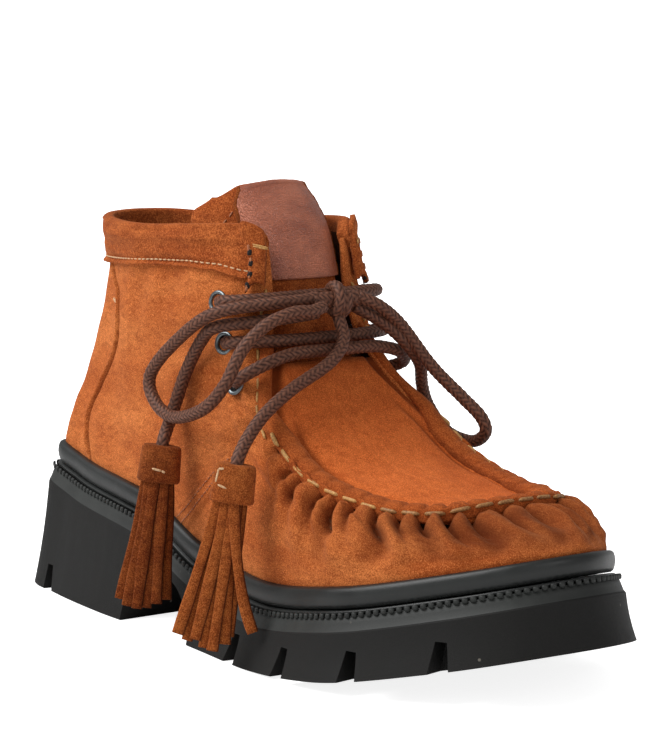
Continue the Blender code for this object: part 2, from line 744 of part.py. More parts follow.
def buildTassels(parts, cutters):
    """Each is a flattened band with strips fused to it that fan out a little."""
    for name, (top, bottom) in tassels.items():
        top = shares(top)
        bottom = shares(bottom)
        down = (bottom - top) / np.linalg.norm(bottom - top)
        length = np.linalg.norm(bottom - top)
        angles = np.arange(12) * 2 * np.pi / 12
        wide = np.array([1.0, 0, 0]) - down * down[0]
        wide /= np.linalg.norm(wide)
        deep = np.cross(down, wide)
        rounds = [top + down * drop + size * (wide * tasselWide / 2 * np.cos(a) + deep * tasselFlat / 2 * np.sin(a))
                  for drop, size in ((0, 0.75), (0.12 * tasselCap, 1.0), (tasselCap, 1.0)) for a in angles]
        faces = bands(3, 12) + [tuple(range(12)), tuple(range(24, 36))]
        cap = place(name, rounds, faces, suede, parts)
        faceOut(cap)
        for number in range(tasselStrips):
            share = (number - (tasselStrips - 1) / 2) / ((tasselStrips - 1) / 2)
            lean = 0.07 * share
            along = down + wide * lean
            along /= np.linalg.norm(along)
            across = np.cross(along, deep)
            turned = np.stack([across, deep, along], 1)
            depth = (0.24 if number % 2 else -0.24) * tasselFlat
            start = top + down * 0.7 * tasselCap + wide * share * tasselWide * 0.36 + deep * depth
            reach = length - 0.7 * tasselCap - (number % 3) * 1.5 * mm
            strip = block(f"{name}_strip_{number}", start + along * reach / 2,
                          (tasselWide * 0.26, stripThick, reach), turned, cutters)
            cut(cap, strip, "UNION")


def build():
    clearScene()
    parts = bpy.data.collections.new("ankle_boot")
    cutters = bpy.data.collections.new("cutters")
    for collection in (parts, cutters):
        bpy.context.scene.collection.children.link(collection)
    buildSole(parts, cutters)
    buildUpper(parts, cutters)
    buildApron(parts)
    buildTongue(parts)
    buildTab(parts)
    buildCuff(parts, cutters)
    buildEyelets(parts)
    buildLace(parts)
    buildTassels(parts, cutters)


build()
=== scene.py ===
import bmesh
import bpy
import numpy as np
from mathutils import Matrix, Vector


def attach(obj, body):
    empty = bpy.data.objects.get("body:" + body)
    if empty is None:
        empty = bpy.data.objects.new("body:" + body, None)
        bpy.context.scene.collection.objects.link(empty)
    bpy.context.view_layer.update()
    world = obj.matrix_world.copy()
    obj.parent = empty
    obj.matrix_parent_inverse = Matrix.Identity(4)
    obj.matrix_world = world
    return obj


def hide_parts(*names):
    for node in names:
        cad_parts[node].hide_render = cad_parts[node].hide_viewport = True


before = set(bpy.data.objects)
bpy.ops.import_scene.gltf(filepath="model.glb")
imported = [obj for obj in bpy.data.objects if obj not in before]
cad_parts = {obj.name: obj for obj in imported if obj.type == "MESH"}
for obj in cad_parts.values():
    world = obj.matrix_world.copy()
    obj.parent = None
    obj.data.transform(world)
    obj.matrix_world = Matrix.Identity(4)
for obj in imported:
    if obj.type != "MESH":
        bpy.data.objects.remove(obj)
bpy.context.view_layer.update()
mm = 0.001

# Shape of the boot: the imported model's sizes and tables, with a fuller top of the tongue

last = {
    "soleLength": 275 * mm,
    "ballWidth": 105 * mm,
    "collarHeight": 134 * mm,
    "wall": 2.2 * mm,
    "fit": 0.35 * mm,
    "midsoleDeep": 7.0 * mm,
    "weltThick": 1.3 * mm,
    "wallFlare": 4.9 * mm,
    "backFlare": 5.4 * mm,
    "toeFlare": -2.3 * mm,
    "featherInset": 5.8 * mm,
    "toeSwing": 0.040,
    "outlineLean": -0.0024,
}
outlineRows = np.array([
    (0.000, 0.000, 0.000),
    (0.035, -0.235, 0.235),
    (0.120, -0.300, 0.310),
    (0.250, -0.355, 0.345),
    (0.380, -0.383, 0.340),
    (0.500, -0.425, 0.370),
    (0.620, -0.470, 0.445),
    (0.760, -0.490, 0.490),
    (0.880, -0.380, 0.440),
    (0.965, -0.215, 0.255),
    (1.000, 0.033, 0.033),
])
profileColumns = ("along", "bed", "ground")
profileRows = np.array([
    (0.00, 0.410, 0.000),
    (0.15, 0.355, 0.000),
    (0.30, 0.325, 0.000),
    (0.45, 0.232, 0.000),
    (0.60, 0.198, 0.000),
    (0.75, 0.236, 0.024),
    (0.90, 0.304, 0.084),
    (1.00, 0.360, 0.136),
])
edgeColumns = ("around", "along", "half", "up", "lowOut", "lowUp", "highOut", "highDown")
edgeRows = np.array([
    (0.000, 0.133, 0.000, 0.981, -0.010, 0.09, -0.040, 0.24),
    (0.080, 0.148, 0.116, 0.980, -0.010, 0.09, -0.040, 0.24),
    (0.180, 0.205, 0.211, 0.975, -0.005, 0.10, -0.035, 0.24),
    (0.300, 0.304, 0.269, 0.978, 0.015, 0.15, -0.010, 0.25),
    (0.400, 0.409, 0.262, 0.993, 0.040, 0.20, 0.010, 0.25),
    (0.445, 0.471, 0.205, 1.000, 0.045, 0.21, 0.045, 0.18),
    (0.475, 0.496, 0.150, 0.970, 0.045, 0.21, 0.080, 0.12),
    (0.510, 0.502, 0.143, 0.881, 0.045, 0.19, 0.105, 0.07),
    (0.545, 0.513, 0.162, 0.769, 0.045, 0.17, 0.115, 0.06),
    (0.585, 0.536, 0.214, 0.664, 0.040, 0.14, 0.095, 0.06),
    (0.620, 0.573, 0.286, 0.567, 0.040, 0.12, 0.065, 0.05),
    (0.650, 0.605, 0.324, 0.507, 0.038, 0.11, 0.050, 0.05),
    (0.700, 0.660, 0.329, 0.444, 0.035, 0.09, 0.055, 0.04),
    (0.760, 0.722, 0.314, 0.414, 0.025, 0.08, 0.065, 0.03),
    (0.820, 0.784, 0.290, 0.401, 0.015, 0.06, 0.065, 0.02),
    (0.880, 0.835, 0.238, 0.401, 0.005, 0.05, 0.060, 0.01),
    (0.940, 0.860, 0.133, 0.407, 0.000, 0.05, 0.060, 0.00),
    (1.000, 0.865, 0.000, 0.410, 0.000, 0.05, 0.060, 0.00),
])
apronColumns = ("around", "crown")
apronRows = np.array([
    (0.578, 0.006),
    (0.620, 0.017),
    (0.700, 0.026),
    (0.760, 0.026),
    (0.820, 0.020),
    (0.880, 0.010),
    (0.940, 0.003),
    (1.000, 0.000),
])
tongueColumns = ("rise", "along", "half", "up", "wrap", "sag")
tongueRows = np.array([
    (0.00, 0.551, 0.162, 0.552, 0.04, 0.00),
    (0.17, 0.533, 0.190, 0.649, 0.08, 0.00),
    (0.35, 0.515, 0.210, 0.746, 0.15, 0.00),
    (0.57, 0.500, 0.229, 0.873, 0.21, 0.00),
    (0.80, 0.480, 0.240, 0.985, 0.23, 0.00),
    (0.92, 0.458, 0.226, 1.052, 0.19, 0.02),
    (1.00, 0.440, 0.192, 1.092, 0.09, 0.03),
])
eyeletRows = ((0.440, 0.740), (0.462, 0.610), (0.522, 0.590))


def eased(rows, columns, column, at):
    # a table's column read at any value of its first one, with no overshoot between rows
    x = rows[:, 0]
    y = rows[:, columns.index(column)]
    step = np.diff(x)
    rise = np.diff(y) / step
    left = 2 * step[1:] + step[:-1]
    right = step[1:] + 2 * step[:-1]
    same = rise[:-1] * rise[1:] > 0
    safe = np.where(same, rise[:-1], 1), np.where(same, rise[1:], 1)
    inner = np.where(same, (left + right) / (left / safe[0] + right / safe[1]), 0)
    slope = np.concatenate([rise[:1], inner, rise[-1:]])
    k = np.clip(np.searchsorted(x, at) - 1, 0, len(step) - 1)
    f = np.clip((at - x[k]) / step[k], 0, 1)
    low = y[k] * (1 + 2 * f) * (1 - f) ** 2 + step[k] * slope[k] * f * (1 - f) ** 2
    return low + y[k + 1] * f * f * (3 - 2 * f) + step[k] * slope[k + 1] * f * f * (f - 1)


def mirroredRows(rows, odd, columns):
    flip = np.array([-1 if name in odd else 1 for name in columns])
    first = rows[1] * flip
    first[0] = 2 * rows[0, 0] - rows[1, 0]
    end = rows[-2] * flip
    end[0] = 2 * rows[-1, 0] - rows[-2, 0]
    return np.vstack([first, rows, end])


edgeTable = mirroredRows(edgeRows, ("half",), edgeColumns)
outlineHalf = np.vstack([outlineRows[:, (0, 1)], outlineRows[-2:0:-1][:, (0, 2)]])
outlineKnots = (outlineHalf - (0.5, last["outlineLean"])) * (last["soleLength"], last["ballWidth"])


def throughKnots(a, b, c, d, f):
    return 0.5 * (2 * b + (c - a) * f + (2 * a - 5 * b + 4 * c - d) * f**2 + (3 * b - a - 3 * c + d) * f**3)


def outline(turn):
    spot = np.asarray(turn) % 1.0 * len(outlineKnots)
    i = np.floor(spot).astype(int)
    f = (spot - i)[..., None]
    a, b, c, d = (outlineKnots[(i + k) % len(outlineKnots)] for k in (-1, 0, 1, 2))
    return throughKnots(a, b, c, d, f)


def outward(turn):
    tangent = outline(turn + 0.001) - outline(turn - 0.001)
    normal = np.stack([tangent[..., 1], -tangent[..., 0]], -1)
    return normal / np.linalg.norm(normal, axis=-1, keepdims=True)


def flare(turn):
    facing = outward(turn)[..., 0]
    nearBack = np.cos(2 * np.pi * np.asarray(turn)) > 0.6
    heel = last["backFlare"] * np.clip(-facing, 0, 1) ** 2 * nearBack
    return last["wallFlare"] + heel + last["toeFlare"] * np.clip(facing, 0, 1) ** 2


def profile(x, column):
    share = np.clip(np.asarray(x) / last["soleLength"] + 0.5, 0, 1)
    return last["collarHeight"] * eased(profileRows, profileColumns, column, share)


def soleRing(turn, past, drop):
    # a loop round the sole: past in from the outsole's top edge, drop below the foot bed
    plan = outline(turn) - outward(turn) * (flare(turn) + past)[..., None]
    height = profile(plan[..., 0], "bed") - drop
    return np.concatenate([plan, height[..., None]], -1)


def centreLine(x):
    share = np.clip((np.asarray(x) / last["soleLength"] + 0.1) / 0.6, 0, 1)
    return last["toeSwing"] * last["ballWidth"] * share * share * (3 - 2 * share)


def aroundOf(turn):
    turn = np.asarray(turn, float) % 1.0
    return np.where(turn > 0.5, 2 - 2 * turn, 2 * turn)


def topEdge(turn):
    turn = np.asarray(turn, float) % 1.0
    around = aroundOf(turn)
    side = np.where(turn > 0.5, 1.0, -1.0)
    x = (eased(edgeTable, edgeColumns, "along", around) - 0.5) * last["soleLength"]
    y = centreLine(x) + side * last["ballWidth"] * eased(edgeTable, edgeColumns, "half", around)
    z = last["collarHeight"] * eased(edgeTable, edgeColumns, "up", around)
    return np.stack([x, y, z], -1)


def spread(a, b):
    return np.broadcast_arrays(np.asarray(a, float), np.asarray(b, float))


def wallPoint(turn, rise):
    turn, rise = spread(turn, rise)
    around = aroundOf(turn)
    tall = last["collarHeight"]
    reach = {name: tall * eased(edgeTable, edgeColumns, name, around)[..., None] for name in edgeColumns[4:]}
    out = np.concatenate([outward(turn), np.zeros(turn.shape + (1,))], -1)
    up = np.array([0.0, 0.0, 1.0])
    foot = soleRing(turn, last["featherInset"], -last["fit"])
    top = topEdge(turn)
    low = foot + out * reach["lowOut"] + up * reach["lowUp"]
    high = top + out * reach["highOut"] - up * reach["highDown"]
    t = rise[..., None]
    back = 1 - t
    return foot * back**3 + 3 * low * t * back**2 + 3 * high * t**2 * back + top * t**3


def wallOut(turn, rise):
    turn, rise = spread(turn, rise)
    e = 0.002
    low = np.clip(rise - e, 0, 1)
    high = np.clip(rise + e, 0, 1)
    along = wallPoint(turn + e, rise) - wallPoint(turn - e, rise)
    upward = wallPoint(turn, high) - wallPoint(turn, low)
    return unit(np.cross(along, upward))


def unit(v):
    return v / np.maximum(np.linalg.norm(v, axis=-1, keepdims=True), 1e-12)


def edgeMiddle(around):
    return (topEdge(around / 2) + topEdge(1 - around / 2)) / 2


def crownWay(around):
    # square to the line between the two sides of the throat, and up
    e = 0.004
    way = edgeMiddle(np.clip(around + e, 0, 1)) - edgeMiddle(around - e)
    return unit(np.stack([-way[..., 2], np.zeros(way.shape[:-1]), way[..., 0]], -1))


def apronPoint(around, across, inset=1.2 * mm):
    around, across = spread(around, across)
    left = topEdge(around / 2)
    right = topEdge(1 - around / 2)
    middle = (left + right) / 2
    half = (right - left) / 2
    width = np.linalg.norm(half, axis=-1, keepdims=True)
    half = half * np.clip(1 - inset / np.maximum(width, 1e-6), 0, 1)
    crown = last["collarHeight"] * eased(apronRows, apronColumns, "crown", around)[..., None]
    return middle + half * across[..., None] + crownWay(around) * crown * (1 - across[..., None] ** 2)


def tonguePoint(rise, across):
    rise, across = spread(rise, across)
    read = {name: eased(tongueRows, tongueColumns, name, rise) for name in tongueColumns[1:]}
    wing = np.abs(across)
    x = (read["along"] - 0.5) * last["soleLength"] - read["wrap"] * last["ballWidth"] * wing**3
    y = centreLine(x) + read["half"] * last["ballWidth"] * across
    z = last["collarHeight"] * (read["up"] - read["sag"] * wing**2)
    return np.stack([x, y, z], -1)


def tongueOut(rise, across):
    e = 0.01
    along = tonguePoint(np.clip(rise + e, 0, 1), across) - tonguePoint(np.clip(rise - e, 0, 1), across)
    side = tonguePoint(rise, across + e) - tonguePoint(rise, across - e)
    return unit(np.cross(side, along))


def eyeletPlaces():
    found = []
    for side in ("lateral", "medial"):
        for number, (around, rise) in enumerate(eyeletRows, 1):
            turn = np.array(around / 2 if side == "lateral" else 1 - around / 2)
            found.append((f"{side}_{number}", wallPoint(turn, rise), wallOut(turn, rise)))
    return found


def shares(points):
    return np.array(points, float) * (last["soleLength"], last["ballWidth"], last["collarHeight"])


def smoothed(points, steps):
    knots = np.vstack([2 * points[0] - points[1], points, 2 * points[-1] - points[-2]])
    f = (np.arange(steps) / steps)[:, None]
    run = [throughKnots(a, b, c, d, f) for a, b, c, d in zip(knots, knots[1:], knots[2:], knots[3:])]
    return np.concatenate([*run, knots[-2:-1]])


def runLength(points):
    # how far along a polyline each of its points is
    return np.concatenate([[0], np.cumsum(np.linalg.norm(np.diff(points, axis=0), axis=1))])


def readAlong(at, far, values):
    return np.stack([np.interp(at, far, values[:, k]) for k in range(3)], -1)


def evenly(points, step):
    # points at even distances along a polyline, and how far along it each one is
    far = runLength(points)
    at = np.linspace(0, far[-1], max(2, int(round(far[-1] / step)) + 1))
    return readAlong(at, far, points), at


def circleOf(count):
    return np.arange(count) * 2 * np.pi / count


def smoothStep(low, high, value):
    t = np.clip((value - low) / (high - low), 0, 1)
    return t * t * (3 - 2 * t)


def hump(value, middle, width):
    # 1 at its middle, and soft on both sides
    return np.exp(-((value - middle) / width) ** 2)


def bent(value, power):
    return np.sign(value) * np.abs(value) ** power


def wavyNoise(a, b, seed):
    # soft noise of about unit size and period one, from a few sine waves
    dice = np.random.default_rng(seed)
    total = np.zeros(np.broadcast(a, b).shape)
    for size in (1.0, 1.7, 2.9):
        way = dice.uniform(0, 2 * np.pi, 2)
        shift = dice.uniform(0, 2 * np.pi, 2)
        for k, side in enumerate((1, -1)):
            wave = a * np.cos(way[k]) + side * b * np.sin(way[k])
            total = total + np.sin(size * wave * 2 * np.pi + shift[k]) / size
    return total / 2


# Mesh helpers

def stand(piece, *nodes):
    # a shown piece that takes the place of packed ones
    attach(piece, "root")
    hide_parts(*nodes)


def newObject(name, data):
    made = bpy.data.objects.new(name, data)
    bpy.context.scene.collection.objects.link(made)
    return made


def newPiece(name, points, faces, finish, marks=None):
    mesh = bpy.data.meshes.new(name)
    mesh.from_pydata([tuple(map(float, p)) for p in points], [], [tuple(map(int, f)) for f in faces])
    mesh.validate()
    piece = newObject(name, mesh)
    mesh.materials.append(finish)
    mesh.shade_smooth()
    for label, values in (marks or {}).items():
        layer = mesh.attributes.new(label, "FLOAT", "POINT")
        layer.data.foreach_set("value", np.asarray(values, float).ravel())
    return piece


def gridFaces(rows, count, wrap=False, start=0, flip=False):
    r, c = np.meshgrid(np.arange(rows - 1), np.arange(count if wrap else count - 1), indexing="ij")
    a = start + r * count + c
    b = start + r * count + (c + 1) % count
    quads = np.stack([a, b, b + count, a + count], -1).reshape(-1, 4)
    return [tuple(quad) for quad in (quads[:, ::-1] if flip else quads)]


def ringFaces(rings, sides):
    # a tube of rings with one face at each end
    ends = [tuple(range(sides))[::-1], tuple(range((rings - 1) * sides, rings * sides))]
    return gridFaces(rings, sides, True) + ends


def prismFaces(count):
    ends = [tuple(range(count)), tuple(range(count, 2 * count))[::-1]]
    return ends + [(i, (i + 1) % count, count + (i + 1) % count, count + i) for i in range(count)]


def outside(piece):
    # turns every face outwards
    shape = bmesh.new()
    shape.from_mesh(piece.data)
    bmesh.ops.recalc_face_normals(shape, faces=shape.faces)
    shape.to_mesh(piece.data)
    shape.free()
    return piece


def paintFaces(piece, finish, first, end):
    # a second finish on a run of faces
    piece.data.materials.append(finish)
    picks = np.zeros(len(piece.data.polygons), int)
    picks[first:end] = 1
    piece.data.polygons.foreach_set("material_index", picks)


def shell(name, outer, inner, finish, shade=None):
    # a closed wall between two grids of the same size
    rows, count = outer.shape[:2]
    half = rows * count
    faces = gridFaces(rows, count) + gridFaces(rows, count, False, half, True)
    across = np.arange(count)
    down = np.arange(rows) * count
    borders = (across, True), (across + half - count, False), (down, False), (down + count - 1, True)
    for line, flip in borders:
        for a, b in zip(line, line[1:]):
            a, b = (b, a) if flip else (a, b)
            faces.append((a, b, b + half, a + half))
    points = np.concatenate([outer.reshape(-1, 3), inner.reshape(-1, 3)])
    marks = None if shade is None else {"paintedShade": np.concatenate([shade.ravel(), shade.ravel() * 0])}
    return outside(newPiece(name, points, faces, finish, marks))


def frames(path):
    # tangent, and two directions square to it that don't twist along the path
    tangent = unit(np.gradient(path, axis=0))
    side = np.zeros_like(path)
    start = np.array([0, 0, 1.0]) if abs(tangent[0, 2]) < 0.9 else np.array([1.0, 0, 0])
    side[0] = unit(np.cross(tangent[0], start))
    for i in range(1, len(path)):
        flat = side[i - 1] - tangent[i] * (side[i - 1] @ tangent[i])
        side[i] = unit(flat)
    return tangent, side, np.cross(tangent, side)


def tubeMesh(name, path, radius, finish, marks=None):
    # rings of any radius along a path, closed at both ends
    count, sides = radius.shape
    a, b = frames(path)[1:]
    angle = circleOf(sides)
    ring = np.cos(angle)[None, :, None] * a[:, None, :] + np.sin(angle)[None, :, None] * b[:, None, :]
    points = path[:, None, :] + ring * radius[..., None]
    first = count * sides
    faces = gridFaces(count, sides, True)
    faces += [(first, (i + 1) % sides, i) for i in range(sides)]
    endRow = (count - 1) * sides
    faces += [(first + 1, endRow + i, endRow + (i + 1) % sides) for i in range(sides)]
    if marks is not None:
        marks = {k: np.concatenate([v.ravel(), v[0, :1], v[-1, :1]]) for k, v in marks.items()}
    points = np.concatenate([points.reshape(-1, 3), path[:1], path[-1:]])
    return outside(newPiece(name, points, faces, finish, marks))


# Finishes

def nodeTool(tree):
    def add(kind, *links, **values):
        node = tree.nodes.new(kind)
        for key, value in values.items():
            setattr(node, key, value)
        for socket, source in links:
            if isinstance(source, bpy.types.NodeSocket):
                tree.links.new(source, node.inputs[socket])
            else:
                node.inputs[socket].default_value = source
        return node
    return add


def addNoise(add, where, scale, detail, roughness=0.5, distortion=0.0):
    node = add("ShaderNodeTexNoise", ("Vector", where), ("Scale", scale), ("Detail", detail),
               ("Roughness", roughness), ("Distortion", distortion))
    return node.outputs["Fac"]


def addMath(add, operation, *values):
    return add("ShaderNodeMath", *enumerate(values), operation=operation).outputs[0]


def stretched(add, where, amount):
    return add("ShaderNodeVectorMath", (0, where), (1, amount), operation="MULTIPLY").outputs[0]


def stretchRange(add, value, low, high, toLow=0.0, toHigh=1.0):
    ends = (("From Min", low), ("From Max", high), ("To Min", toLow), ("To Max", toHigh))
    return add("ShaderNodeMapRange", ("Value", value), *ends).outputs["Result"]


def mixColour(add, share, first, second):
    colours = [c if isinstance(c, bpy.types.NodeSocket) else (*c, 1) for c in (first, second)]
    node = add("ShaderNodeMix", (0, share), (6, colours[0]), (7, colours[1]), data_type="RGBA")
    return node.outputs[2]


def times(colour, amount):
    return tuple(c * amount for c in colour)


def buildNapGroup():
    # brushed suede: speckle of the fibres, soft brush marks and broad patches
    group = bpy.data.node_groups.new("suedeNap", "ShaderNodeTree")
    for label, kind in (("Where", "Vector"), ("Fibre size", "Float"), ("Patch size", "Float")):
        group.interface.new_socket(label, in_out="INPUT", socket_type="NodeSocket" + kind)
    for label in ("Speckle", "Brush", "Patch", "Height"):
        group.interface.new_socket(label, in_out="OUTPUT", socket_type="NodeSocketFloat")
    add = nodeTool(group)
    given = add("NodeGroupInput").outputs
    fine = addMath(add, "DIVIDE", 1000.0, given["Fibre size"])
    wide = addMath(add, "DIVIDE", 1000.0, given["Patch size"])
    lain = stretched(add, given["Where"], (0.55, 1.0, 1.4))
    speckle = addNoise(add, given["Where"], fine, 3.0, 0.7)
    brush = addNoise(add, lain, addMath(add, "MULTIPLY", fine, 0.13), 4.0, 0.6, 0.6)
    patch = addNoise(add, lain, wide, 3.0, 0.55, 0.4)
    height = addMath(add, "MULTIPLY_ADD", brush, 0.6, speckle)
    add("NodeGroupOutput", ("Speckle", speckle), ("Brush", brush), ("Patch", patch), ("Height", height))
    return group


def newFinish(name, roughness, metallic=0.0):
    made = bpy.data.materials.new(name)
    made.use_nodes = True
    shader = made.node_tree.nodes["Principled BSDF"]
    shader.inputs["Roughness"].default_value = roughness
    shader.inputs["Metallic"].default_value = metallic
    add = nodeTool(made.node_tree)
    return made, add, shader, add("ShaderNodeTexCoord").outputs["Object"]


def dress(add, shader, base, roughness=None, bump=None):
    # bump is a height, its strength and its depth
    links = shader.id_data.links
    links.new(base, shader.inputs["Base Color"])
    if roughness:
        links.new(roughness, shader.inputs["Roughness"])
    if bump:
        node = add("ShaderNodeBump", ("Height", bump[0]), ("Strength", bump[1]), ("Distance", bump[2]))
        links.new(node.outputs["Normal"], shader.inputs["Normal"])


def buildSuede(name, light, middle, dark, fibre=0.36, patch=24.0, sheen=0.12, bumpDeep=0.38, withPaintedShade=False):
    made, add, shader, where = newFinish(name, 0.92)
    sizes = (("Where", where), ("Fibre size", fibre), ("Patch size", patch))
    nap = add("ShaderNodeGroup", *sizes, node_tree=napGroup).outputs
    base = mixColour(add, stretchRange(add, nap["Patch"], 0.34, 0.66), middle, light)
    base = mixColour(add, stretchRange(add, nap["Brush"], 0.58, 0.32, 0.0, 0.55), base, dark)
    base = mixColour(add, stretchRange(add, nap["Speckle"], 0.53, 0.38, 0.0, 0.75), base, dark)
    bright = tuple(min(1.0, c * 1.4 + 0.01) for c in light)
    base = mixColour(add, stretchRange(add, nap["Speckle"], 0.53, 0.66, 0.0, 0.7), base, bright)
    # painted shade: a mark on the mesh darkens the suede towards a deep tone of its gap colour
    if withPaintedShade:
        mark = add("ShaderNodeAttribute", attribute_name="paintedShade").outputs["Fac"]
        base = mixColour(add, stretchRange(add, mark, 0.0, 1.0, 0.0, 0.9), base, times(dark, 0.45))
    shader.inputs["Sheen Weight"].default_value = sheen
    shader.inputs["Sheen Roughness"].default_value = 0.4
    shader.inputs["Sheen Tint"].default_value = (1.0, 0.5, 0.25, 1)
    shader.inputs["Specular IOR Level"].default_value = 0.1
    dress(add, shader, base, bump=(nap["Height"], bumpDeep, 0.6 * mm))
    return made


def buildRubber(name, colour, roughness, dust, grainSize, grainDeep, gloss):
    made, add, shader, where = newFinish(name, roughness)
    grain = addNoise(add, where, 1000.0 / grainSize, 5.0, 0.65)
    cloud = addNoise(add, stretched(add, where, (1.0, 1.0, 0.3)), 55.0, 4.0, 0.6)
    specks = add("ShaderNodeTexVoronoi", ("Vector", where), ("Scale", 150.0), ("Randomness", 1.0))
    near = stretchRange(add, specks.outputs["Distance"], 0.085, 0.045)
    some = stretchRange(add, addNoise(add, where, 38.0, 2.0), 0.55, 0.62)
    speckShare = addMath(add, "MULTIPLY", addMath(add, "MULTIPLY", near, some), dust)
    base = mixColour(add, stretchRange(add, cloud, 0.35, 0.68), times(colour, 0.75), times(colour, 1.45))
    base = mixColour(add, speckShare, base, (0.16, 0.145, 0.12))
    shader.inputs["Specular IOR Level"].default_value = gloss
    rough = stretchRange(add, cloud, 0.3, 0.7, roughness - 0.08, roughness + 0.1)
    dress(add, shader, base, rough, (grain, grainDeep, 0.3 * mm))
    return made


def buildTabLeather():
    made, add, shader, where = newFinish("tabLeather", 0.38)
    pores = add("ShaderNodeTexVoronoi", ("Vector", where), ("Scale", 1500.0), feature="DISTANCE_TO_EDGE")
    lines = addNoise(add, stretched(add, where, (1.0, 0.25, 1.0)), 420.0, 5.0, 0.6, 0.8)
    cloud = addNoise(add, where, 70.0, 4.0, 0.6)
    base = mixColour(add, stretchRange(add, cloud, 0.35, 0.68), (0.400, 0.108, 0.054), (0.660, 0.210, 0.110))
    base = mixColour(add, stretchRange(add, cloud, 0.58, 0.74, 0.0, 0.4), base, (0.62, 0.165, 0.078))
    poreHeight = stretchRange(add, pores.outputs["Distance"], 0.0, 0.12, 0.0, 0.5)
    shader.inputs["Coat Weight"].default_value = 0.12
    shader.inputs["Coat Roughness"].default_value = 0.3
    height = addMath(add, "ADD", poreHeight, lines)
    dress(add, shader, base, stretchRange(add, cloud, 0.3, 0.7, 0.30, 0.48), (height, 1.0, 0.7 * mm))
    return made


def buildLaceFinish():
    # waxed braid: painted highlight on the crowns of the strands and painted shade in the gaps; the crowns
    # are also shinier
    made, add, shader, where = newFinish("waxedBraid", 0.55)
    mark = add("ShaderNodeAttribute", attribute_name="braid").outputs["Fac"]
    cloud = addNoise(add, where, 260.0, 3.0)
    fibre = addNoise(add, where, 2600.0, 2.0)
    base = mixColour(add, stretchRange(add, mark, 0.35, 0.98), (0.036, 0.013, 0.008), (0.220, 0.086, 0.048))
    base = mixColour(add, stretchRange(add, cloud, 0.40, 0.66, 0.0, 0.35), base, (0.080, 0.028, 0.015))
    shader.inputs["Specular IOR Level"].default_value = 0.3
    dress(add, shader, base, stretchRange(add, mark, 0.2, 1.0, 0.75, 0.48), (fibre, 0.35, 0.2 * mm))
    return made


def buildMetal():
    made, add, shader, where = newFinish("gunmetal", 0.32, 1.0)
    cloud = addNoise(add, where, 500.0, 4.0)
    base = mixColour(add, cloud, (0.10, 0.115, 0.125), (0.25, 0.28, 0.29))
    dress(add, shader, base, stretchRange(add, cloud, 0.3, 0.7, 0.24, 0.42))
    return made


def buildThread(name, light, dark):
    made, add, shader, where = newFinish(name, 0.55)
    twist = addNoise(add, where, 1800.0, 2.0)
    base = mixColour(add, stretchRange(add, twist, 0.35, 0.65), dark, light)
    dress(add, shader, base, bump=(twist, 0.4, 0.2 * mm))
    return made


def buildPlain(name, colour, roughness):
    # for what is hardly seen: a little cloudy, and without grain
    made, add, shader, where = newFinish(name, roughness)
    cloud = addNoise(add, where, 300.0, 2.0)
    dress(add, shader, mixColour(add, cloud, times(colour, 0.6), times(colour, 1.4)))
    return made


# linear colours: where the nap is brushed up, its middle tone, and its gaps
suedeColours = {
    "wall": ((0.660, 0.204, 0.054), (0.460, 0.106, 0.022), (0.215, 0.037, 0.007)),
    "apron": ((0.700, 0.172, 0.038), (0.570, 0.116, 0.022), (0.330, 0.055, 0.009)),
    "rim": ((0.470, 0.115, 0.025), (0.360, 0.075, 0.015), (0.165, 0.027, 0.005)),
    "cuff": ((0.470, 0.125, 0.030), (0.340, 0.073, 0.015), (0.150, 0.024, 0.005)),
    "dark": ((0.300, 0.078, 0.017), (0.200, 0.044, 0.009), (0.075, 0.013, 0.003)),
    "pale": ((0.420, 0.118, 0.026), (0.300, 0.070, 0.014), (0.120, 0.022, 0.004)),
    "lining": ((0.110, 0.036, 0.014), (0.070, 0.021, 0.009), (0.030, 0.009, 0.004)),
}
napGroup = buildNapGroup()
suedeWall = buildSuede("suedeWall", *suedeColours["wall"], withPaintedShade=True)
suedeApron = buildSuede("suedeApron", *suedeColours["apron"], patch=34.0, withPaintedShade=True)
suedeRim = buildSuede("suedeRim", *suedeColours["rim"], withPaintedShade=True)
suedeCuff = buildSuede("suedeCuff", *suedeColours["cuff"], fibre=0.5, patch=12.0)
suedeDark = buildSuede("suedeDark", *suedeColours["dark"], fibre=0.4, patch=9.0, bumpDeep=0.5, withPaintedShade=True)
suedePale = buildSuede("suedePale", *suedeColours["pale"], fibre=0.4, patch=9.0, bumpDeep=0.45, withPaintedShade=True)
lining = buildSuede("lining", *suedeColours["lining"], fibre=0.5, patch=10.0, sheen=0.02)
rubberWall = buildRubber("rubberWall", (0.0068, 0.0065, 0.0060), 0.68, 1.0, 0.35, 0.35, 0.24)
rubberBand = buildRubber("rubberBand", (0.0105, 0.0118, 0.0112), 0.38, 0.2, 0.5, 0.14, 0.42)
rubberRamp = buildRubber("rubberRamp", (0.0190, 0.0207, 0.0192), 0.55, 0.3, 0.4, 0.20, 0.35)
# painted shade: near black, for the inside of holes
holeShade = buildPlain("holeShade", (0.010, 0.006, 0.005), 0.9)
tabLeather = buildTabLeather()
waxedBraid = buildLaceFinish()
gunmetal = buildMetal()
threadGold = buildThread("threadGold", (0.62, 0.34, 0.10), (0.36, 0.16, 0.04))
threadPale = buildThread("threadPale", (0.75, 0.52, 0.30), (0.50, 0.28, 0.13))
threadBrown = buildThread("threadBrown", (0.42, 0.20, 0.06), (0.20, 0.08, 0.02))
threadRust = buildThread("threadRust", (0.48, 0.17, 0.06), (0.24, 0.06, 0.02))
print("finishes built")

# Camera, floor and light

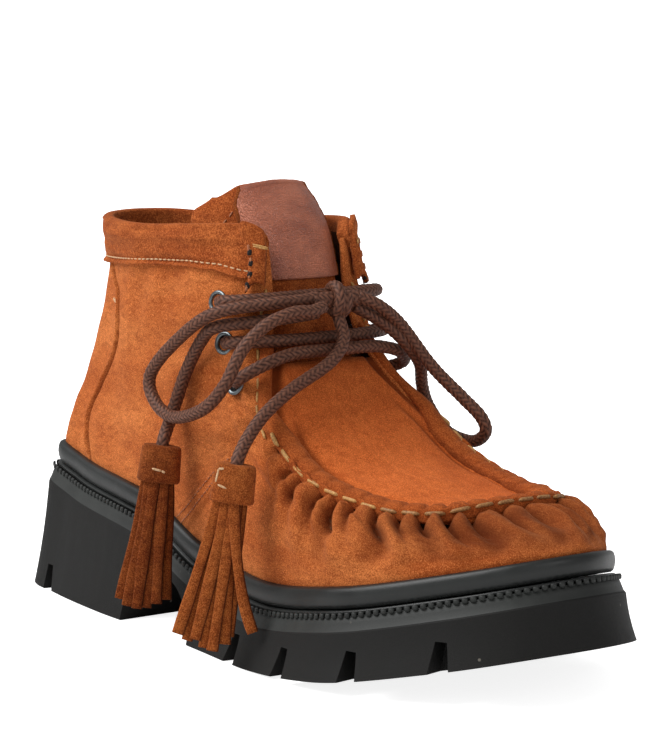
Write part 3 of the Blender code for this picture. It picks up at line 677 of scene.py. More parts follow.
view = {
    "place": (0.830464, -0.630377, 0.225926),
    "turn": (1.437086, -0.00202, 0.914261),
    "lens": 175.355,
}
studio = {
    "floorHalf": 40.0,
    "floorLow": -0.1 * mm,
    "floorGlow": 0.85,
    "sky": 0.40,
    "sun": 2.8,
    "sunAngle": 0.8,
    "sunFrom": (-0.30, -0.60, 0.74),
    "lamps": (("frontLight", (1.5, -0.1, 0.7), 0.6, 2.0),),
    "lampsTo": (0, 0, 0.06),
}


def buildStage():
    camera = newObject("camera", bpy.data.cameras.new("camera"))
    camera.location = view["place"]
    camera.rotation_euler = view["turn"]
    camera.data.lens = view["lens"]
    camera.data.sensor_width = 36
    camera.data.sensor_fit = "HORIZONTAL"
    camera.data.clip_start = 0.05
    bpy.context.scene.camera = camera
    made, add, shader = newFinish("studioFloor", 0.9)[:3]
    shader.inputs["Base Color"].default_value = (0.9, 0.9, 0.9, 1)
    shader.inputs["Emission Color"].default_value = (1, 1, 1, 1)
    shader.inputs["Specular IOR Level"].default_value = 0.1
    seen = add("ShaderNodeLightPath").outputs["Is Camera Ray"]
    glow = stretchRange(add, seen, 0.0, 1.0, 0.0, studio["floorGlow"])
    made.node_tree.links.new(glow, shader.inputs["Emission Strength"])
    far = studio["floorHalf"]
    corners = [(x, y, studio["floorLow"]) for x, y in ((-far, -far), (far, -far), (far, far), (-far, far))]
    newPiece("floor", corners, [(0, 1, 2, 3)], made)
    world = bpy.data.worlds.new("studio")
    bpy.context.scene.world = world
    world.use_nodes = True
    add = nodeTool(world.node_tree)
    seen = add("ShaderNodeLightPath").outputs["Is Camera Ray"]
    strength = stretchRange(add, seen, 0.0, 1.0, studio["sky"], 1.0)
    background = world.node_tree.nodes["Background"]
    background.inputs["Color"].default_value = (1, 1, 1, 1)
    world.node_tree.links.new(strength, background.inputs["Strength"])
    sun = bpy.data.lights.new("softSun", "SUN")
    sun.energy = studio["sun"]
    sun.angle = studio["sunAngle"]
    newObject("softSun", sun).rotation_euler = Vector(studio["sunFrom"]).to_track_quat("Z", "Y").to_euler()
    for name, place, size, power in studio["lamps"]:
        lamp = bpy.data.lights.new(name, "AREA")
        lamp.size = size
        lamp.energy = power
        holder = newObject(name, lamp)
        holder.location = place
        toward = Vector(studio["lampsTo"]) - Vector(place)
        holder.rotation_euler = toward.to_track_quat("-Z", "Y").to_euler()


buildStage()
bpy.context.scene.view_settings.view_transform = "Standard"
print("stage built")

# Lace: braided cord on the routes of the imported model

lace = {
    "radius": 2.0 * mm,
    "ringStep": 0.40 * mm,
    "sides": 36,
    "strands": 8,  # each way round, a multiple of 4
    "lay": 2.0 * mm,  # along the cord from strand to strand
    "relief": 0.18,
}
throatMiddle = 0.0057
barRise = 0.0007
barRoutes = (
    (
        (-0.0389, -0.2914, 0.8276), (-0.0131, -0.2819, 0.8313), (0.0087, -0.2305, 0.8358),
        (0.0204, -0.1476, 0.8388), (0.0211, -0.0571, 0.8396),
    ),
    (
        (-0.0207, -0.2990, 0.7321), (0.0018, -0.2810, 0.7351), (0.0200, -0.2333, 0.7388),
        (0.0291, -0.1667, 0.7388), (0.0338, -0.0762, 0.7388),
    ),
    (
        (0.0127, -0.3267, 0.6478), (0.0309, -0.3067, 0.6619), (0.0487, -0.2524, 0.6925),
        (0.0516, -0.1619, 0.7104), (0.0531, -0.0762, 0.7134),
    ),
)
knot = {
    "place": (0.0480, 0.0143, 0.8306),
    "core": ((0.0455, -0.075, 0.8310), (0.0480, 0.0143, 0.8330), (0.0530, 0.085, 0.8330)),
    "coreRadius": 2.6 * mm,
    "wrapRadius": 1.9 * mm,
    "wrapReach": 3.5 * mm,
    "wrapSwell": 0.5 * mm,
    "wrapLong": 3.4 * mm,  # along the lace, from the first of its turns to the last
}
cordRoutes = {
    "lace_loop_lateral": (
        (0.0458, -0.0571, 0.8403), (0.0429, -0.1286, 0.8343), (0.0320, -0.2124, 0.8306),
        (-0.0073, -0.3381, 0.8075), (-0.0644, -0.3667, 0.7373), (-0.1204, -0.3714, 0.6410),
        (-0.1073, -0.3810, 0.5761), (-0.0622, -0.3905, 0.5478), (0.0069, -0.4095, 0.5851),
        (0.0400, -0.3905, 0.6493), (0.0491, -0.3429, 0.7313), (0.0582, -0.2714, 0.7873),
        (0.0655, -0.1857, 0.8134), (0.0655, -0.1143, 0.8134), (0.0582, -0.0562, 0.8194),
    ),
    "lace_loop_medial": (
        (0.0567, 0.0819, 0.8388), (0.0673, 0.1476, 0.8119), (0.0691, 0.2286, 0.7612),
        (0.0905, 0.3048, 0.6619), (0.1200, 0.3667, 0.5866), (0.1389, 0.3981, 0.5425),
        (0.1400, 0.4143, 0.5037), (0.1109, 0.4238, 0.4739), (0.0713, 0.4095, 0.4896),
        (0.0473, 0.3857, 0.5485), (0.0509, 0.3505, 0.6045), (0.0673, 0.3048, 0.6642),
        (0.0684, 0.2381, 0.7239), (0.0575, 0.1714, 0.7724), (0.0465, 0.0895, 0.8119),
    ),
    "lace_end_lateral": (
        (0.0425, -0.0457, 0.8030), (0.0345, -0.1286, 0.7948), (0.0200, -0.2333, 0.7858),
        (-0.0164, -0.3162, 0.7709), (-0.0436, -0.3200, 0.7351), (-0.0735, -0.3238, 0.6522),
        (-0.0909, -0.3324, 0.5716), (-0.0891, -0.3619, 0.5224), (-0.0800, -0.3981, 0.4888),
    ),
    "lace_end_medial": (
        (0.0545, 0.0114, 0.7910), (0.0684, 0.0019, 0.7388), (0.0782, -0.0714, 0.6903),
        (0.0855, -0.2286, 0.6381), (0.0927, -0.3429, 0.5896), (0.0982, -0.4190, 0.5373),
        (0.1055, -0.4667, 0.4963),
    ),
}
tassel = {
    "capHigh": 12 * mm,
    "capWide": 13 * mm,
    "capDeep": 9 * mm,
    "stripThick": 1.9 * mm,
    "cordIn": 4 * mm,  # how far the lace's end runs into the cap
}
tasselPlaces = {
    "tassel_lateral": ((-0.0793, -0.4048, 0.4769), (-0.0855, -0.4629, 0.0858)),
    "tassel_medial": ((0.1062, -0.4743, 0.4851), (0.0945, -0.5381, 0.0672)),
}


def braidHeight(turn, along):
    # two families of strands, each going over two and under two of the other
    sway = 0.14 * np.sin(along / mm * 0.83) + 0.10 * np.sin(along / mm * 2.1 + turn * 6)
    a = lace["strands"] * turn + along / lace["lay"] + sway
    b = lace["strands"] * turn - along / lace["lay"] + sway
    nearA = np.round(a)
    nearB = np.round(b)
    over = np.cos(np.pi / 2 * (b + nearA - 0.5))
    crownA = np.cos(np.pi * (a - nearA)) ** 0.7 * (0.60 + 0.40 * over)
    over = -np.cos(np.pi / 2 * (a + nearB - 0.5))
    crownB = np.cos(np.pi * (b - nearB)) ** 0.7 * (0.60 + 0.40 * over)
    return np.maximum(crownA, crownB)


def braidedCord(name, route, radius=lace["radius"]):
    path, along = evenly(route, lace["ringStep"])
    turn, far = np.meshgrid(np.arange(lace["sides"]) / lace["sides"], along)
    height = braidHeight(turn, far)
    size = radius * (1 + lace["relief"] * (height - 0.55))
    return tubeMesh(name, path, size, waxedBraid, {"braid": height}), path, along[-1]


def barEnd(spot, out, first):
    # from inside the upper up through an eyelet, against its front, and over its rim
    toward = first - spot
    toward = unit(toward - out * (toward @ out))
    return [
        spot - out * 3.4 * mm + toward * 0.5 * mm,
        spot - out * 0.6 * mm + toward * 0.7 * mm,
        spot + out * 1.5 * mm + toward * 1.5 * mm,
    ]


def buildLace():
    made = {}
    eyelets = {name: (spot, out) for name, spot, out in eyeletPlaces()}
    for number, half in enumerate(barRoutes, 1):
        half = shares(half)
        middle = half[-1] + (barRise * last["soleLength"], 0, 0)
        middle[1] = throatMiddle * last["ballWidth"]
        sides = []
        for side in ("lateral", "medial"):
            run = half.copy()
            if side == "medial":
                run[:, 1] = 2 * middle[1] - run[:, 1]
            sides.append(np.vstack([barEnd(*eyelets[f"{side}_{number}"], run[1]), run[1:]]))
        route = smoothed(np.vstack([sides[0], middle, sides[1][::-1]]), 12)
        bar, path, length = braidedCord(f"laceBar{number}", route)
        stand(bar, f"lace_bar_{number}")
        print("lace bar", number, "length", round(length, 4))
    for node, route in cordRoutes.items():
        route = shares(route)
        if "end" in node:
            top, bottom = (shares(p) for p in tasselPlaces[node.replace("lace_end", "tassel")])
            route = np.vstack([route, top + unit(bottom - top) * tassel["cordIn"]])
        name = "".join(word.capitalize() for word in node.split("_")[1:])
        piece, path, length = braidedCord("lace" + name, smoothed(route, 12))
        stand(piece, node)
        made[node] = (piece, path, length)
        print(node, "length", round(length, 4))
    return made


laceMade = buildLace()


def buildKnot():
    # one tight turn over the strands that meet, and a short thicker core under it
    centre = shares(knot["place"])
    share = np.linspace(0, 1, 40)
    angle = -0.35 * np.pi + share * 2.5 * np.pi
    reach = knot["wrapReach"] + knot["wrapSwell"] * np.sin(np.pi * share)
    across = (share - 0.45) * knot["wrapLong"]
    wrap = centre + np.stack([np.cos(angle) * reach, across, np.sin(angle) * reach * 1.15], -1)
    outer = braidedCord("laceKnotWrap", wrap, knot["wrapRadius"])[0]
    inner = braidedCord("laceKnotCore", smoothed(shares(knot["core"]), 12), knot["coreRadius"])[0]
    stand(outer, "lace_knot")
    return outer, inner


knotPieces = buildKnot()
print("lace built")

# Tassels: a wrapped band of suede over strips cut from one piece

# per strip: start and end across the bunch, depth at start and end, width, length share, curl
stripRows = {
    "tassel_lateral": (
        (-0.52, -1.25, 0.05, 0.10, 3.8, 1.00, 0.00),
        (-0.36, -0.84, 0.44, 0.50, 4.2, 1.04, 0.06),
        (-0.12, -0.36, 0.54, 0.60, 4.2, 1.05, -0.04),
        (0.12, 0.10, 0.44, 0.42, 4.2, 1.04, 0.05),
        (0.34, 0.58, 0.50, 0.56, 4.0, 1.00, -0.05),
        (0.52, 1.06, 0.10, 0.00, 3.6, 0.97, 0.08),
        (-0.30, -0.70, -0.30, -0.30, 4.8, 0.98, 0.00),
        (0.20, 0.15, -0.30, -0.30, 4.8, 1.00, 0.00),
    ),
    "tassel_medial": (
        (-0.50, -1.75, 0.25, 0.30, 4.0, 1.00, -0.05),
        (-0.38, -1.25, 0.00, 0.05, 4.0, 1.04, 0.04),
        (-0.20, -0.86, 0.46, 0.50, 4.2, 1.02, 0.06),
        (-0.02, -0.42, 0.24, 0.28, 4.2, 1.07, -0.04),
        (0.14, 0.02, 0.50, 0.52, 4.0, 1.08, 0.03),
        (0.32, 0.55, 0.20, 0.24, 3.8, 1.03, -0.08),
        (0.05, 1.90, 0.66, 0.90, 3.8, 0.92, 0.40),
        (0.48, 0.72, 0.10, 0.10, 3.6, 0.98, 0.05),
        (-0.20, -0.70, -0.35, -0.35, 4.8, 1.00, 0.00),
        (0.15, 0.20, -0.35, -0.35, 4.8, 1.00, 0.00),
    ),
}


# per row of a cap: share of its height, and its size there
capRows = (
    (0.0, 0.70), (0.02, 0.90), (0.08, 0.98), (0.35, 1.02),
    (0.7, 1.05), (0.94, 1.08), (1.0, 1.02), (1.0, 0.84),
)
towardRight = np.array([0.605, 0.796, 0.0])  # in the photo


def ribbon(name, path, wide, thick, facing, finish, sides=16):
    # a flat strip with softly rounded edges along a path, its face towards facing
    tangent = unit(np.gradient(path, axis=0))
    across = unit(np.cross(np.broadcast_to(facing, path.shape), tangent))
    normal = np.cross(tangent, across)
    angle = circleOf(sides)
    flat = bent(np.cos(angle), 0.35)
    deep = bent(np.sin(angle), 0.6)
    ring = flat[None, :, None] * across[:, None] * wide[:, None, None] / 2
    ring = ring + deep[None, :, None] * normal[:, None] * thick / 2
    points = (path[:, None] + ring).reshape(-1, 3)
    # painted shade along one edge of each strip, in the gap to the next one
    dark = np.tile(smoothStep(0.55, 0.92, flat), len(path))
    return outside(newPiece(name, points, ringFaces(len(path), sides), finish, {"paintedShade": dark}))


def buildTassel(node, finish):
    top, bottom = (shares(p) for p in tasselPlaces[node])
    down = unit(bottom - top)
    right = unit(towardRight - down * (down @ towardRight))
    front = np.cross(right, down) * -1
    start = 0.6 * tassel["capHigh"]
    reach = np.linalg.norm(bottom - top) - start
    label = node.replace("tassel_", "tassel").replace("lateral", "Outer").replace("medial", "Inner")
    strips = []
    steps = np.linspace(0, 1, 40)
    for number, (a, b, c, d, wide, share, curl) in enumerate(stripRows[node]):
        side = a + (b - a) * steps ** (2.4 if curl > 0.3 else 1.25) + curl * np.sin(np.pi * steps * 1.1) * 0.6
        deep = c + (d - c) * steps
        path = top + down * (start + reach * share * 0.97 * steps)[:, None]
        path = path + right * (side * tassel["capWide"] / 2)[:, None]
        path = path + front * (deep * tassel["capDeep"] / 2)[:, None]
        width = np.full(40, wide * mm) * (0.92 + 0.08 * np.sin(steps * 9 + number))
        strips.append(ribbon(f"{label}Strip{number}", path, width, tassel["stripThick"], front, finish))
    angle = circleOf(40)
    rows = []
    for high, size in capRows:
        wide = bent(np.cos(angle), 0.75) * tassel["capWide"] / 2 * size
        deep = bent(np.sin(angle), 0.75) * tassel["capDeep"] / 2 * size
        rows.append(top + down * high * tassel["capHigh"] + right * wide[:, None] + front * deep[:, None])
    cap = outside(newPiece(f"{label}Cap", np.concatenate(rows), ringFaces(len(rows), 40), finish))
    for strip in strips:
        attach(strip, "root")
    stand(cap, node)
    return [*strips, cap], (top, down, right, front)


outerTassel, outerFrame = buildTassel("tassel_lateral", suedeDark)
innerTassel, innerFrame = buildTassel("tassel_medial", suedePale)
print("tassels built")


for piece in knotPieces:
    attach(piece, "root")

# Upper: the wall with its gathers, creases, seams and the lip under the apron

upperLook = {
    "turns": 760,
    "rises": 104,
    "gatherPitch": 7.9 * mm,
    "gatherDeep": 3.4 * mm,
    "puff": 1.9 * mm,  # how far the cloth stands out between two folds
    "ripple": 1.4 * mm,  # of the soft ridges that run on below the folds
    "gatherFrom": 0.640,  # share of the way round where they start
    "gatherSeed": 5,
    "gatherLean": 5.0,  # pitches that a fold runs back by on its way down
    "drape": 0.35 * mm,
    "wrinkle": 0.5 * mm,
    "tuck": 1.8 * mm,  # how far the wall goes in under the rim
    "footDown": 0.9 * mm,
    "counterGroove": 1.5 * mm,
    "counterLip": 1.0 * mm,
    "bandHigh": 0.8 * mm,
    "bandWide": 4.6 * mm,
    "perAround": 320 * mm,  # length along the wall for a whole half turn
}
counterRows = np.array([
    (0.0, 0.224), (0.113, 0.212), (0.218, 0.201), (0.326, 0.204), (0.414, 0.215), (0.515, 0.234),
    (0.607, 0.245), (0.669, 0.243), (0.732, 0.234), (0.774, 0.224), (0.808, 0.196), (0.870, 0.160),
])
quarterRows = np.array([
    (0.0, 0.402), (0.096, 0.431), (0.163, 0.452), (0.218, 0.472), (0.289, 0.502), (0.385, 0.536),
    (0.44, 0.57),
])
# creases placed one by one: around, rise, length and lie of each, its depth and its width
creaseRows = (
    (0.47, 0.50, 0.16, 0.55, 1.1, 0.020),
    (0.50, 0.42, 0.14, 0.45, 0.9, 0.022),
    (0.38, 0.62, 0.20, 0.25, 0.7, 0.030),
    (0.56, 0.62, 0.10, 0.80, 1.0, 0.016),
    (0.60, 0.52, 0.12, 0.70, 1.1, 0.020),
    (0.30, 0.40, 0.22, 0.15, 0.6, 0.035),
    (0.36, 0.78, 0.16, 1.45, 0.6, 0.016),
    (0.30, 0.76, 0.14, 1.50, 0.5, 0.018),
)


def seamLength():
    around = np.linspace(0.578, 1, 400)
    return around, runLength(topEdge(around / 2))


seamAround, seamFar = seamLength()


def gatherPhase(turn, rise):
    # counts the folds from the toe, up on the inner side and down on the outer one
    around = aroundOf(turn)
    inner = np.asarray(turn) % 1.0 > 0.5
    whole = seamFar[-1]
    toToe = whole - np.interp(around, seamAround, seamFar)
    lean = (1 - rise) * np.clip(toToe / whole, 0, 1) * upperLook["gatherLean"]
    return np.where(inner, toToe / upperLook["gatherPitch"] - lean, lean - toToe / upperLook["gatherPitch"])


def gathers(turn, rise):
    # how deep in a fold each point lies, from 0 to about 1
    around = aroundOf(turn)
    phase = gatherPhase(turn, rise)
    dice = np.random.default_rng(upperLook["gatherSeed"])
    jitter = dice.uniform(-0.2, 0.2, 64)
    deepness = dice.uniform(0.65, 1.1, 64)
    lowEnd = dice.uniform(-0.15, 0.22, 64)
    cell = np.floor(phase).astype(int)
    best = np.zeros(phase.shape)
    for step in (-1, 0, 1, 2):
        fold = (cell + step) % 64
        away = np.abs(phase - (cell + step + jitter[fold]))
        fade = smoothStep(lowEnd[fold], 0.82, rise)
        width = 0.19 + 0.26 * (1 - fade)
        best = np.maximum(best, deepness[fold] * fade**0.95 * np.exp(-(away / width) ** 1.5))
    return best * gatherStrength(around)


def gatherStrength(around):
    return smoothStep(upperLook["gatherFrom"] - 0.03, upperLook["gatherFrom"] + 0.05, around)


def seamAway(turn, rise, rows):
    # how far a point of the wall is ahead of a seam that climbs it
    return (aroundOf(turn) - np.interp(rise, rows[:, 0], rows[:, 1])) * upperLook["perAround"]


def upperRelief(turn, rise):
    # how far the wall stands out of its plain shape, and how much painted shade it takes there
    around = aroundOf(turn)
    folds = gathers(turn, rise)
    strength = gatherStrength(around)
    height = -upperLook["gatherDeep"] * folds
    between = 1 - np.clip(folds * 1.3, 0, 1)
    height = height + upperLook["puff"] * strength * smoothStep(0.25, 0.90, rise) * between
    slow = gatherPhase(turn, rise * 0.9) * 0.53 + 0.16 * wavyNoise(around * 6, rise * 1.1, 12)
    swell = np.sin(2 * np.pi * slow) * smoothStep(0.03, 0.30, rise) * (1 - smoothStep(0.70, 0.95, rise))
    height = height + upperLook["ripple"] * swell * strength * (1 - 0.6 * smoothStep(0.86, 0.94, around))
    height = height + upperLook["drape"] * wavyNoise(around * 7, rise * 2.2, 3) * smoothStep(0.0, 0.2, rise)
    wrinkle = upperLook["wrinkle"] * wavyNoise(around * 22, rise * 1.4, 8)
    height = height + wrinkle * strength * smoothStep(0.1, 0.6, rise)
    tuck = strength * smoothStep(0.955, 1.0, rise)
    height = height - upperLook["tuck"] * tuck
    # painted shade in the folds' hollows, and under the rim where the wall tucks in
    shade = np.clip(folds, 0, 1) ** 1.4 * 0.75 * smoothStep(0.25, 0.80, rise) + 0.6 * tuck
    # darker over the gathers and most at the toe: partly the suede's own redder tone, partly painted shade
    # where the toe faces away from the light
    shade = shade + (0.26 + 0.36 * smoothStep(0.74, 0.90, around)) * strength * smoothStep(-0.15, 0.35, rise)
    # painted shade in the troughs of the soft ridges
    shade = shade + 0.30 * np.clip(-swell, 0, 1) * strength
    for place, high, length, lie, deep, wide in creaseRows:
        along = (around - place) * np.cos(lie) + (rise - high) * np.sin(lie) * 0.6
        across = -(around - place) * np.sin(lie) + (rise - high) * np.cos(lie) * 0.6
        ends = np.exp(-(along / length) ** 2 * 2)
        groove = ends * hump(across, 0, wide)
        ridge = ends * hump(across, 2 * wide, wide)
        height = height + deep * mm * (0.5 * ridge - 0.8 * groove)
        # painted shade in each crease's groove
        shade = shade + 0.06 * groove
    away = seamAway(turn, rise, counterRows)
    below = 1 - smoothStep(0.84, 0.88, rise)
    groove = hump(away, 0, 0.6 * mm) * below
    lip = smoothStep(-4.2 * mm, -1.3 * mm, away) * (1 - smoothStep(-1.3 * mm, 0, away)) * below
    height = height - upperLook["counterGroove"] * groove + upperLook["counterLip"] * lip
    # painted shade in the counter seam's groove
    shade = shade + groove
    away = np.abs(seamAway(turn, rise, quarterRows) * 0.61)
    half = upperLook["bandWide"] / 2
    below = 1 - smoothStep(0.38, 0.44, rise)
    height = height + upperLook["bandHigh"] * (1 - smoothStep(half, half + 0.7 * mm, away)) * below
    # painted shade along the edges of the quarter's band
    shade = shade + 0.35 * hump(away, half + 0.5 * mm, 0.5 * mm) * below
    # painted shade at the foot of the wall, where it meets the sole
    shade = shade + 0.25 * (1 - smoothStep(0.0, 0.05, rise))
    return height * smoothStep(0.0, 0.06, rise), np.clip(shade, 0, 1)


def upperTurns():
    # closer together where the gathers and the seams are
    fine = np.linspace(0, 0.5, 2001)
    weight = 1 + 1.3 * smoothStep(0.29, 0.34, fine)
    for place, wide in ((0.111, 0.014), (0.235, 0.035)):
        weight = weight + 1.6 * np.exp(-((fine - place) / wide) ** 2)
    far = np.concatenate([[0], np.cumsum((weight[1:] + weight[:-1]) / 2)])
    half = np.interp(np.linspace(0, far[-1], upperLook["turns"] // 2 + 1), far, fine)
    return np.concatenate([half, 1 - half[-2:0:-1]])


def closedWall(name, outer, inner, finish, second, every, marks):
    # a closed ring-shaped wall whose inner skin keeps only some of the columns
    rows, count = outer.shape[:2]
    kept = np.arange(0, count, every)
    start = rows * count
    small = len(kept)
    faces = gridFaces(rows, count, True)
    outerFaces = len(faces)
    faces += gridFaces(inner.shape[0], small, True, start, True)
    bothSkins = len(faces)
    for row, innerRow in ((0, 0), (rows - 1, inner.shape[0] - 1)):
        for k in range(small):
            fine = [row * count + (kept[k] + step) % count for step in range(every + 1)]
            coarse = [start + innerRow * small + (k + 1) % small, start + innerRow * small + k]
            faces.append(tuple(fine + coarse))
    points = np.concatenate([outer.reshape(-1, 3), inner[:, kept].reshape(-1, 3)])
    marks = {k: np.concatenate([v.ravel(), np.zeros(inner.shape[0] * small)]) for k, v in marks.items()}
    piece = newPiece(name, points, faces, finish, marks)
    paintFaces(piece, second, outerFaces, bothSkins)
    return outside(piece)


def buildUpper():
    rise = 1 - (1 - np.linspace(0, 1, upperLook["rises"])) ** 1.15
    turn, up = np.meshgrid(upperTurns(), rise)
    skin = wallPoint(turn, up)
    out = wallOut(turn, up)
    height, shade = upperRelief(turn, up)
    outer = skin + out * height[..., None]
    outer[..., 2] -= upperLook["footDown"] * (1 - smoothStep(0.0, 0.03, up))
    inner = skin + out * (np.minimum(height, 0) * 0.6 - last["wall"])[..., None]
    piece = closedWall("upperSuede", outer, inner[::3], suedeWall, lining, 4, {"paintedShade": shade})
    stand(piece, "upper")
    return piece


upperPiece = buildUpper()
print("upper built", len(upperPiece.data.polygons), "faces")

# Apron, its rolled rim, and the puckered lip that the rim is sewn to

apronLook = {
    "thick": 2.2 * mm,
    "rimWide": 8.4 * mm,
    "rimHigh": 6.2 * mm,
    "stayWide": 4.4 * mm,
    "stayHigh": 3.2 * mm,
    "toeLift": 1.6 * mm,
    "lipDeep": 2.0 * mm,
    "lipHigh": 3.2 * mm,
    "stitchAngle": 0.07 * np.pi,  # on the rim, up from its outer side
}


def buildApron():
    back = apronRows[0, 0]
    around = back + (0.994 - back) * (1 - (1 - np.linspace(0, 1, 110)) ** 1.5)
    across = np.sin(np.linspace(-np.pi / 2, np.pi / 2, 81))
    a, b = np.meshgrid(around, across, indexing="ij")
    way = crownWay(a)
    half = np.linalg.norm(topEdge(a / 2) - topEdge(1 - a / 2), axis=-1) / 2
    inside = half * (1 - np.abs(b))
    rimmed = smoothStep(0.60, 0.65, a)
    groove = hump(inside, apronLook["rimWide"], 1.8 * mm) * rimmed
    beside = (1 - smoothStep(2.0 * mm, 5.0 * mm, inside)) * (1 - rimmed)
    soft = 0.3 * mm * wavyNoise(a * 9, b * 1.3, 11) - 1.3 * mm * groove - 1.6 * mm * beside
    top = apronPoint(a, b) + way * soft[..., None]
    near = hump(inside, apronLook["rimWide"] + 0.2 * mm, 1.1 * mm) * rimmed
    # painted shade: in the groove inside the rim, in the gap beside the eyestay strip, and over the apron's
    # back end under the lowest lace bar
    shade = 0.75 * near + 0.85 * beside + 0.3 * (1 - smoothStep(0.58, 0.60, a))
    stand(shell("apronSuede", top, top - way * apronLook["thick"], suedeApron, shade), "apron")


def overToe(start, count):
    # turns from one side of the throat to the other, by way of the toe
    around = np.linspace(start, 1, count)
    return np.concatenate([around / 2, 1 - around[-2::-1] / 2])


def rimRun(start, count):
    # the rolled edge: its middle line, its size, and the ways across it and out of it
    turn = overToe(start, count)
    line = topEdge(turn)
    tangent = unit(np.gradient(line, axis=0))
    a = aroundOf(turn)
    grow = smoothStep(0.598, 0.648, a)
    toApron = grow[:, None]
    wallWay = wallOut(turn, np.full(len(turn), 0.96))
    up = unit(wallWay * (1 - toApron) + crownWay(np.clip(a, 0.58, 0.96)) * toApron)
    inward = unit(np.cross(tangent, up))
    check = np.where(a < 0.95, (inward * (edgeMiddle(a) - line)).sum(-1), inward @ np.array([-1.0, 0, 0]))
    inward = inward * np.where(check < 0, -1.0, 1.0)[:, None]
    begin = smoothStep(start, start + 0.012, a)
    wide = (apronLook["stayWide"] * (1 - grow) + apronLook["rimWide"] * grow) * (0.3 + 0.7 * begin)
    high = (apronLook["stayHigh"] * (1 - grow) + apronLook["rimHigh"] * grow) * (0.2 + 0.8 * begin)
    lift = 0.4 * mm + apronLook["toeLift"] * smoothStep(0.84, 0.95, a)
    shift = (2 * grow - 1) * (wide / 2 - 0.3 * mm)
    centre = line + inward * shift[:, None] + up * lift[:, None]
    return turn, centre, inward, up, wide, high


def ovalTube(name, centre, across, up, wide, high, finish, shade):
    count, sides = shade.shape
    angle = circleOf(sides)
    ring = np.cos(angle)[None, :, None] * across[:, None] * (wide / 2)[:, None, None]
    ring = ring + np.sin(angle)[None, :, None] * up[:, None] * (high / 2)[:, None, None]
    points = (centre[:, None] + ring).reshape(-1, 3)
    piece = newPiece(name, points, ringFaces(count, sides), finish, {"paintedShade": shade})
    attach(outside(piece), "root")


def buildRim():
    turn, centre, inward, up, wide, high = rimRun(0.548, 420)
    a = aroundOf(turn)
    phase = gatherPhase(turn, np.ones(len(turn)))
    strength = gatherStrength(a)
    pinch = hump(phase, np.round(phase), 0.16) * strength
    pucker = -(0.5 + 0.7 * smoothStep(0.80, 0.92, a)) * mm * pinch
    centre = centre + up * pucker[:, None] * 0.4
    angle = circleOf(28)
    # painted shade: on the rim's inner side, on its side against the wall, and in its puckers
    edge = hump(np.cos(angle), 0.98, 0.16)[None, :] * strength[:, None]
    low = hump(angle, np.pi, 0.35)[None, :] * strength[:, None]
    shade = 0.5 * edge + 0.35 * low + 0.35 * pinch[:, None] * np.sin(angle / 2)[None, :] ** 2
    ovalTube("apronRim", centre, inward, up, wide + pucker * 0.6, high + pucker, suedeRim, shade)


def buildLip():
    # stands out below the stitches, in step with the gathers
    turn = overToe(0.640, 420)
    a = aroundOf(turn)
    out = wallOut(turn, np.full(len(turn), 0.95))
    up = crownWay(np.clip(a, 0.58, 0.96))
    wave = np.cos(2 * np.pi * gatherPhase(turn, np.ones(len(turn))))
    start = smoothStep(0.640, 0.675, a)
    lift = (apronLook["toeLift"] * 0.8 * smoothStep(0.84, 0.95, a) - 0.5 * mm + 0.45 * mm * wave)[:, None]
    centre = topEdge(turn) + out * (0.9 * mm - 0.4 * mm * wave)[:, None] + up * lift
    wide = apronLook["lipDeep"] * start + 0.4 * mm
    high = apronLook["lipHigh"] * (1 + 0.16 * wave) * (0.3 + 0.7 * start)
    ovalTube("apronLip", centre, out, up, wide, high, suedeRim, np.zeros((len(turn), 16)))


buildApron()
buildRim()
buildLip()
print("apron built")

# Cuff: folded over the collar, thick at its top, with a tab at each side of the throat

cuffLook = {
    "reach": 0.240,
    "proud": 1.7 * mm,
    "rollHigh": 0.9 * mm,
    "tabProud": 3.0 * mm,
    "tabThick": 1.5 * mm,
}
cuffLowRows = np.array([
    (-0.40, 0.866), (-0.30, 0.874), (-0.16, 0.896), (-0.09, 0.902), (-0.045, 0.897),
    (-0.015, 0.882), (0.05, 0.874),
])
# corners of the outer tab on the wall, as (around, rise): top back, top front, low back, low front
cuffTabCorners = ((0.446, 1.0), (0.474, 1.0), (0.478, 0.775), (0.512, 0.950))


def riseAt(turn, height):
    # rise of the wall at which it is at a given height, near the collar
    tries = np.linspace(0.55, 1.0, 90)
    grid = wallPoint(turn[:, None], tries[None, :])[..., 2]
    return np.array([np.interp(h, z, tries) for h, z in zip(height, grid)])


def cuffLow(turn):
    edge = topEdge(turn)
    low = np.interp(edge[:, 0] / last["soleLength"], cuffLowRows[:, 0], cuffLowRows[:, 1])
    return riseAt(turn, np.minimum(low * last["collarHeight"], edge[:, 2] - 6 * mm))


